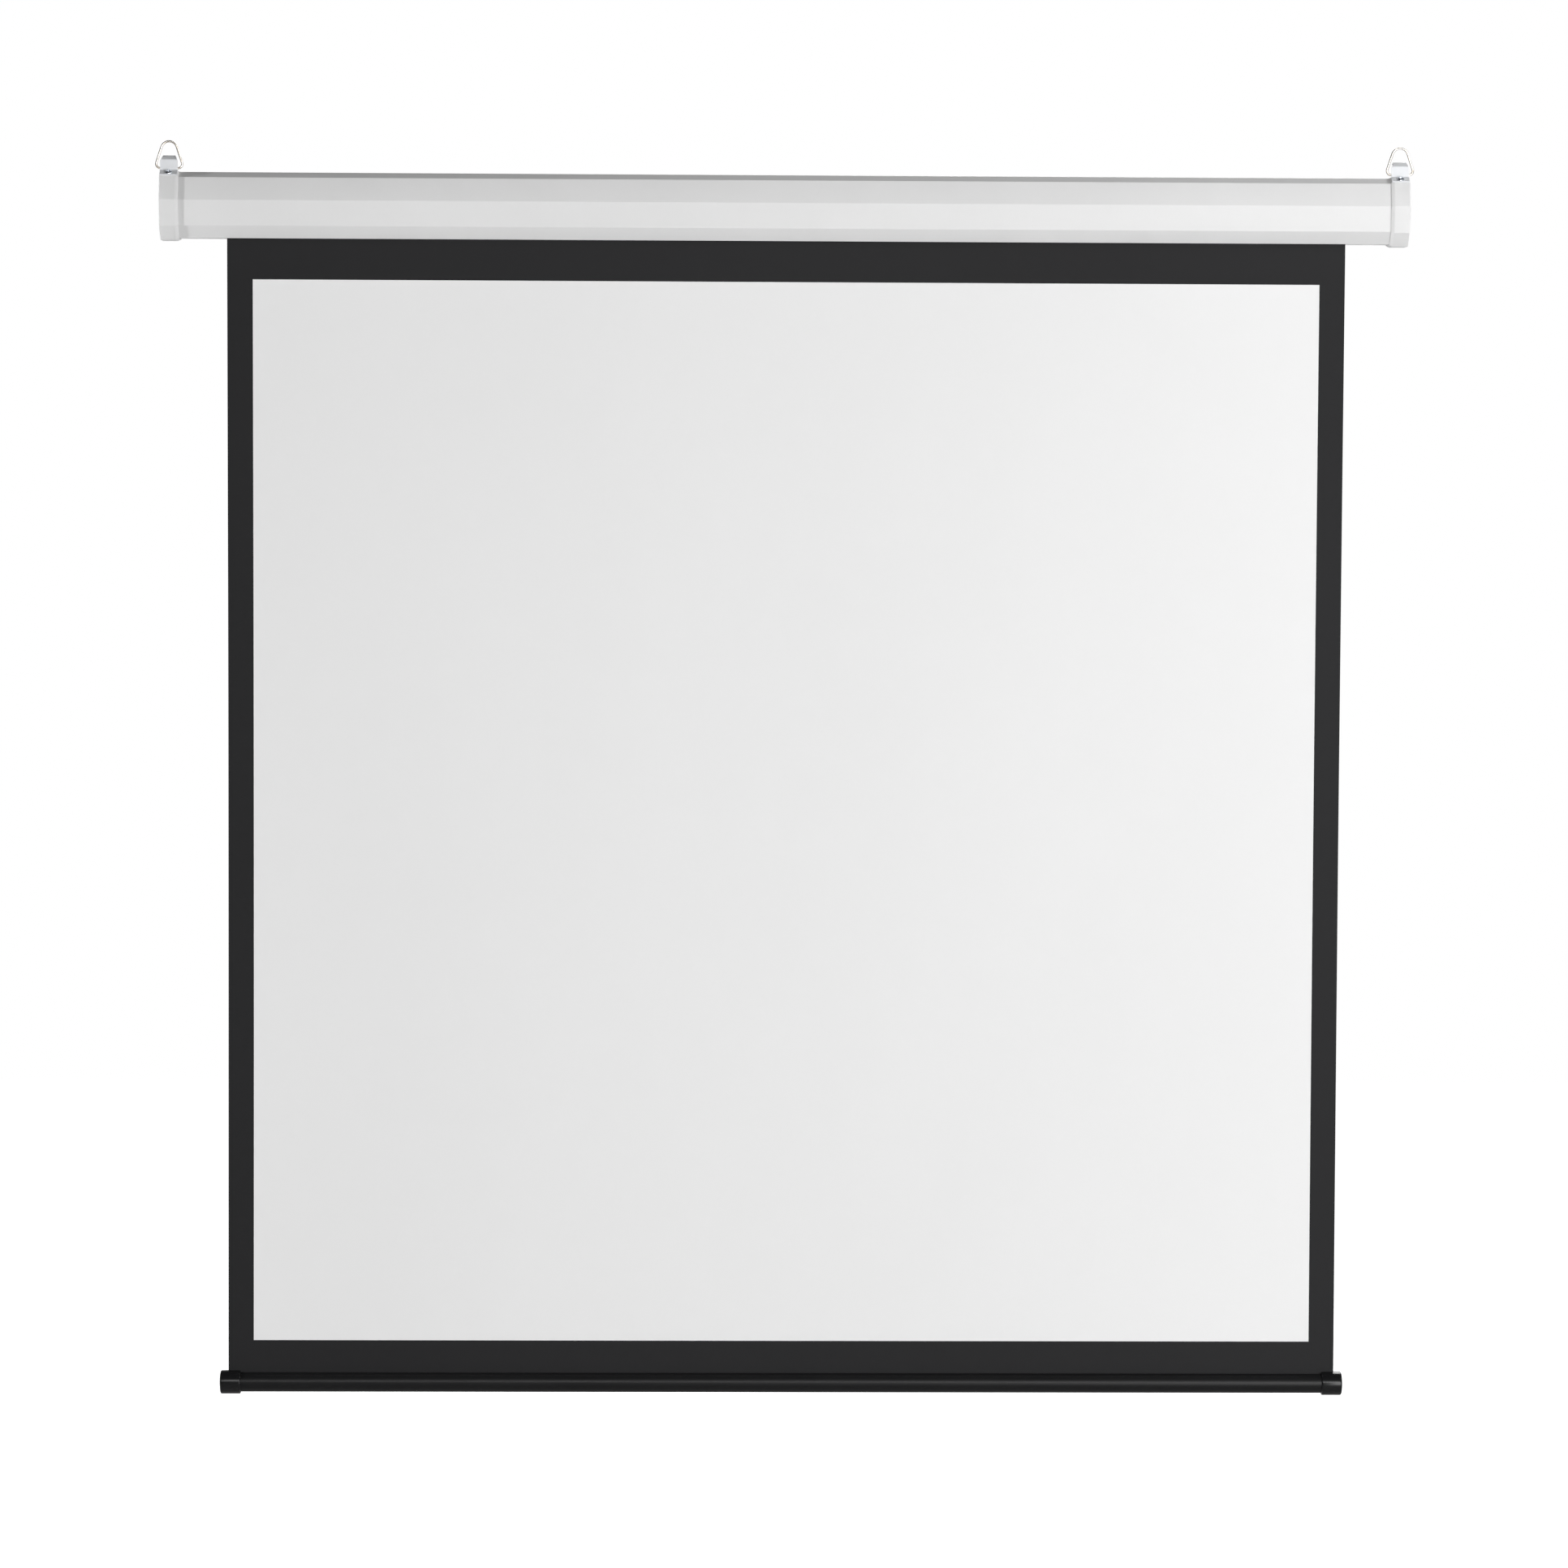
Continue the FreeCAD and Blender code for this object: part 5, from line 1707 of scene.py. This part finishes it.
@dataclass
class BarCaps:
    """The moulded cups on the ends of the bottom bar."""

    centre: Pair = (0.002025, -1.763)
    ends: Pair = (-0.8103, 0.8157)
    length: float = 0.031
    radius: float = 0.017
    bore: float = 0.0141
    floor: float = 0.0029
    dome: float = 0.002
    outer_round: float = 0.0025
    lip_round: float = 0.0018
    slot: float = 0.0024
    slot_depth: float = 0.022
    slot_height: float = 0.03
    slot_past: float = 0.002
    sides: int = 96
    dome_steps: int = 6
    round_steps: int = 8
    lip_steps: int = 4
    crisp: float = 30.0

    def build(self) -> list[bpy.types.Object]:
        """Builds both cups in place of the plain solids.

        Returns:
            The left cup and the right cup.
        """
        made = []
        for side, tip in zip(End, self.ends):
            inward = -side.value
            shape = bmesh.new()
            profile = [(tip + inward * x, r) for x, r in self._profile()]
            lathe(shape, profile, self.centre, self.sides)
            face_outwards(shape)
            piece = finished_piece(side.label + "_bar_cup", shape, [BAR_CAP_BLACK], self.crisp)
            cut(piece, self._slot_tool(tip, inward))
            self._shade_again(piece)
            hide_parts(side.label + "_bar_cap")
            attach(piece, "bottom_bar")
            made.append(piece)
        return made

    def _slot_tool(self, tip: float, inward: float) -> bpy.types.Object:
        """The box that cuts the slot for the sheet.

        Args:
            tip: Outer end of the cup along X.
            inward: 1 where the cup opens to +X and -1 where it opens to -X.

        Returns:
            The box.
        """
        inner = tip + inward * self.length
        first, last = sorted((inner + inward * self.slot_past, inner - inward * self.slot_depth))
        y, z = self.centre
        half = self.slot / 2
        return box_tool((first, y - half, z), (last, y + half, z + self.slot_height))

    def _profile(self) -> list[Pair]:
        """Half section from the outer pole to the pole of the floor.

        Returns:
            Points (depth, radius).
        """
        ball = (self.radius**2 + self.dome**2) / (2 * self.dome)
        bend_r = self.radius - self.outer_round
        bend_x = ball - math.sqrt((ball - self.outer_round) ** 2 - bend_r**2)
        start = math.asin(bend_r / (ball - self.outer_round))
        points = []
        for angle in spaced(0.0, start, self.dome_steps):
            points.append((ball * (1 - math.cos(angle)), ball * math.sin(angle)))
        for angle in spaced(start, math.pi / 2, self.round_steps)[1:]:
            points.append((
                bend_x - self.outer_round * math.cos(angle),
                bend_r + self.outer_round * math.sin(angle),
            ))
        for angle in spaced(0.0, math.pi / 2, self.lip_steps):
            points.append((
                self.length - self.lip_round + self.lip_round * math.sin(angle),
                self.radius - self.lip_round + self.lip_round * math.cos(angle),
            ))
        points += [(self.length, self.bore), (self.floor, self.bore), (self.floor, 0.0)]
        return points

    def _shade_again(self, piece: bpy.types.Object) -> None:
        """Marks the crisp edges once more after the slot has been cut.

        Args:
            piece: The cup.
        """
        shape = bmesh.new()
        shape.from_mesh(piece.data)
        shade(shape, self.crisp)
        shape.to_mesh(piece.data)
        shape.free()


@dataclass(frozen=True)
class InnerPart:
    """A solid of the frame that keeps its shape and gets its finish."""

    node: str
    finish: Finish

    def dress(self) -> None:
        """Gives the solid its finish."""
        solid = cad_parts[self.node]
        if not solid.material_slots:
            solid.data.materials.append(self.finish.material())
        for slot in solid.material_slots:
            slot.material = self.finish.material()


INNER_PARTS = (
    InnerPart("roller_tube", ROLLER_STEEL),
    InnerPart("motor_tube", DRIVE_STEEL),
    InnerPart("motor_core", MOTOR_IRON),
    InnerPart("gearbox", DRIVE_STEEL),
    InnerPart("output_shaft", SHAFT_STEEL),
    InnerPart("idler_pin", SHAFT_STEEL),
    InnerPart("hem_rod", SHAFT_STEEL),
    InnerPart("crown_wheel", DRIVE_BLACK),
    InnerPart("drive_wheel", DRIVE_BLACK),
    InnerPart("idler_plug", DRIVE_BLACK),
    InnerPart("motor_head", DRIVE_BLACK),
    InnerPart("motor_bracket", BRACKET_ZINC),
    InnerPart("idler_bracket", BRACKET_ZINC),
    InnerPart("idler_bush", ACETAL),
    InnerPart("cable_grommet", INLET_RUBBER),
)


# The studio


@dataclass(frozen=True)
class Lamp:
    """A rectangular lamp that looks at a point, for matt surfaces, gloss or both."""

    name: str
    place: Triple
    target: Triple
    width: float
    height: float
    power: float
    lights_matt: bool = True
    lights_gloss: bool = True

    def build(self) -> None:
        """Adds the lamp to the scene."""
        data = bpy.data.lights.new(self.name, "AREA")
        data.shape = "RECTANGLE"
        data.size = self.width
        data.size_y = self.height
        data.energy = self.power
        lamp = linked(self.name, data)
        lamp.location = self.place
        lamp.visible_diffuse = self.lights_matt
        lamp.visible_glossy = self.lights_gloss
        aim = Vector(self.target) - Vector(self.place)
        lamp.rotation_euler = aim.to_track_quat("-Z", "Y").to_euler()


@dataclass(frozen=True)
class Floor:
    """A pale floor that looks white to the camera and keeps the shadow."""

    height: float = -2.35
    half: float = 9.0
    cells: int = 8
    darkest: float = 0.62
    palest: float = 0.66
    mottle_scale: float = 6.0
    near_glow: float = 0.8
    shadow_reach: float = 1.0
    behind: float = 1.0

    def build(self) -> None:
        """Adds the floor to the scene and sets it aside from the object."""
        shape = bmesh.new()
        place = Matrix.Translation((0.0, 0.0, self.height))
        bmesh.ops.create_grid(
            shape, x_segments=self.cells, y_segments=self.cells, size=self.half, matrix=place
        )
        mesh = mesh_of("floor", shape)
        mesh.materials.append(self._paint())
        linked("floor", mesh)

    def _paint(self) -> bpy.types.Material:
        """Matt paint with a glow that only the camera and gloss see, weaker near the object.

        Returns:
            The floor's material.
        """
        material = bpy.data.materials.new("floor_paint")
        material.use_nodes = True
        graph = Graph(material.node_tree)
        ends = tinted((self.darkest,) * 3), tinted((self.palest,) * 3)
        colour = graph.mixed(graph.noise(self.mottle_scale, 3.0), *ends)
        inputs = {"Base Color": colour, "Roughness": 0.9, "Specular IOR Level": 0.1}
        paint = graph.node("ShaderNodeBsdfPrincipled", {}, inputs).out("BSDF")
        glow = graph.node("ShaderNodeEmission", {}, {"Strength": 1.0}).out()
        dark = graph.node("ShaderNodeEmission", {}, {"Strength": 0.0}).out()
        across, depth, _ = graph.parts(graph.places())
        away = (across * across + depth * depth) ** 0.5
        full = (away - self.shadow_reach).clipped() * (1.0 - self.near_glow) + self.near_glow
        seen = shows_backdrop(graph, (depth - self.behind).clipped())
        lift = graph.node("ShaderNodeMixShader", {}, {0: seen * full, 1: dark, 2: glow}).out()
        both = graph.node("ShaderNodeAddShader", {}, {0: paint, 1: lift}).out()
        graph.node("ShaderNodeOutputMaterial", {}, {"Surface": both})
        return material


@dataclass(frozen=True)
class Walls:
    """Surroundings that are white to the camera and dim to the object."""

    ambient: float = 0.03
    fall: float = 0.9
    backdrop_edge: float = 0.8
    backdrop_blend: float = 12.0

    def build(self) -> None:
        """Sets the world: metal and glass see the white backdrop behind the object."""
        world = bpy.data.worlds.new("studio_walls")
        world.use_nodes = True
        bpy.context.scene.world = world
        graph = Graph(world.node_tree)
        heading = graph.node("ShaderNodeTexCoord").out("Generated")
        _, depth, rise = graph.parts(heading)
        strength = (1.0 - rise.math("ABSOLUTE", rise) * self.fall) * self.ambient
        behind = ((depth - self.backdrop_edge) * self.backdrop_blend).clipped()
        seen = shows_backdrop(graph, behind)
        soft = graph.node("ShaderNodeBackground", {}, {"Strength": strength}).out()
        bright = {"Color": (1.0, 1.0, 1.0, 1.0), "Strength": 1.0}
        white = graph.node("ShaderNodeBackground", {}, bright).out()
        mix = graph.node("ShaderNodeMixShader", {}, {0: seen, 1: soft, 2: white}).out()
        graph.node("ShaderNodeOutputWorld", {}, {"Surface": mix})


def shows_backdrop(graph: Graph, behind: Signal) -> Signal:
    """How far a ray sees the white backdrop.

    Args:
        graph: The graph that the answer is used in.
        behind: 1 where a ray off gloss or through glass looks behind the object.

    Returns:
        1 for the camera's rays, and for the others as behind says.
    """
    path = graph.node("ShaderNodeLightPath")
    gloss = (path.out("Is Glossy Ray") + path.out("Is Transmission Ray")).clipped()
    return (path.out("Is Camera Ray") + gloss * behind).clipped()


@dataclass(frozen=True)
class Camera:
    """The camera of the photograph, as fitted to the case, the sheet and the bar."""

    place: Triple = (-0.159, -8.0, -0.412)
    yaw: float = 1.15
    pitch: float = -3.45
    roll: float = 0.27
    focal_pixels: float = 6866.0
    frame_pixels: float = 1932.0
    sensor: float = 36.0
    nearest: float = 0.1
    farthest: float = 100.0

    def build(self) -> None:
        """Adds the camera to the scene and looks through it."""
        yaw, pitch, roll = (math.radians(a) for a in (self.yaw, self.pitch, self.roll))
        ahead = Vector((
            math.sin(yaw) * math.cos(pitch), math.cos(yaw) * math.cos(pitch), math.sin(pitch),
        ))
        right = Vector((math.cos(yaw), -math.sin(yaw), 0.0))
        up = right.cross(ahead)
        across = right * math.cos(roll) + up * math.sin(roll)
        rise = up * math.cos(roll) - right * math.sin(roll)
        data = bpy.data.cameras.new("camera")
        data.sensor_fit = "HORIZONTAL"
        data.sensor_width = self.sensor
        data.lens = self.sensor * self.focal_pixels / self.frame_pixels
        data.clip_start, data.clip_end = self.nearest, self.farthest
        camera = linked("camera", data)
        turn = Matrix((across, rise, -ahead)).transposed()
        camera.matrix_world = Matrix.Translation(self.place) @ turn.to_4x4()
        bpy.context.scene.camera = camera


STUDIO = (
    Floor(),
    Walls(),
    Lamp("key_lamp", (2.2, -4.7, -1.3), (0.0, 0.0, -0.8), 2.4, 2.4, 192.0),
    Lamp(
        "grazing_lamp", (-4.8, -0.97, -0.1), (0.0, 0.0, -0.6), 0.12, 0.12, 142.0,
        lights_gloss=False,
    ),
    Lamp("top_right_lamp", (3.4, -1.6, 1.3), (0.3, 0.0, -0.1), 1.2, 1.2, 62.0),
    Lamp(
        "gloss_strip", (0.3, -4.8, 0.1), (0.3, 0.0, -1.76), 4.4, 0.7, 118.0,
        lights_matt=False,
    ),
    Lamp("rear_lamp", (1.2, 4.2, 2.3), (0.0, 0.0, -0.8), 2.4, 2.4, 200.0),
    Camera(),
)


# Building


def main() -> None:
    logging.basicConfig(level=logging.INFO, format="%(name)s: %(message)s")
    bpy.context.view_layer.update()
    sheet, wound, hem = ScreenSheet(), WoundSheet(), HemBand()
    made = [CaseTube().build()]
    for group in (END_CAPS, HANGER_STRAPS, HangingRings(), Fasteners()):
        made += group.build()
    roll = wound.build()
    hanging = sheet.build()
    folded = hem.build()
    made += [roll, hanging, folded, BottomBar().build(), *BarCaps().build()]
    for part in INNER_PARTS:
        part.dress()
    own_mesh(hanging)
    wound.flat_length()
    hem.flat_length()
    for piece in made:
        log.info("built %s, %d faces", piece.name, len(piece.data.polygons))
    bpy.context.scene.view_settings.view_transform = "Standard"
    for item in STUDIO:
        item.build()
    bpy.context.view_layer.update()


if __name__ == "__main__":
    main()
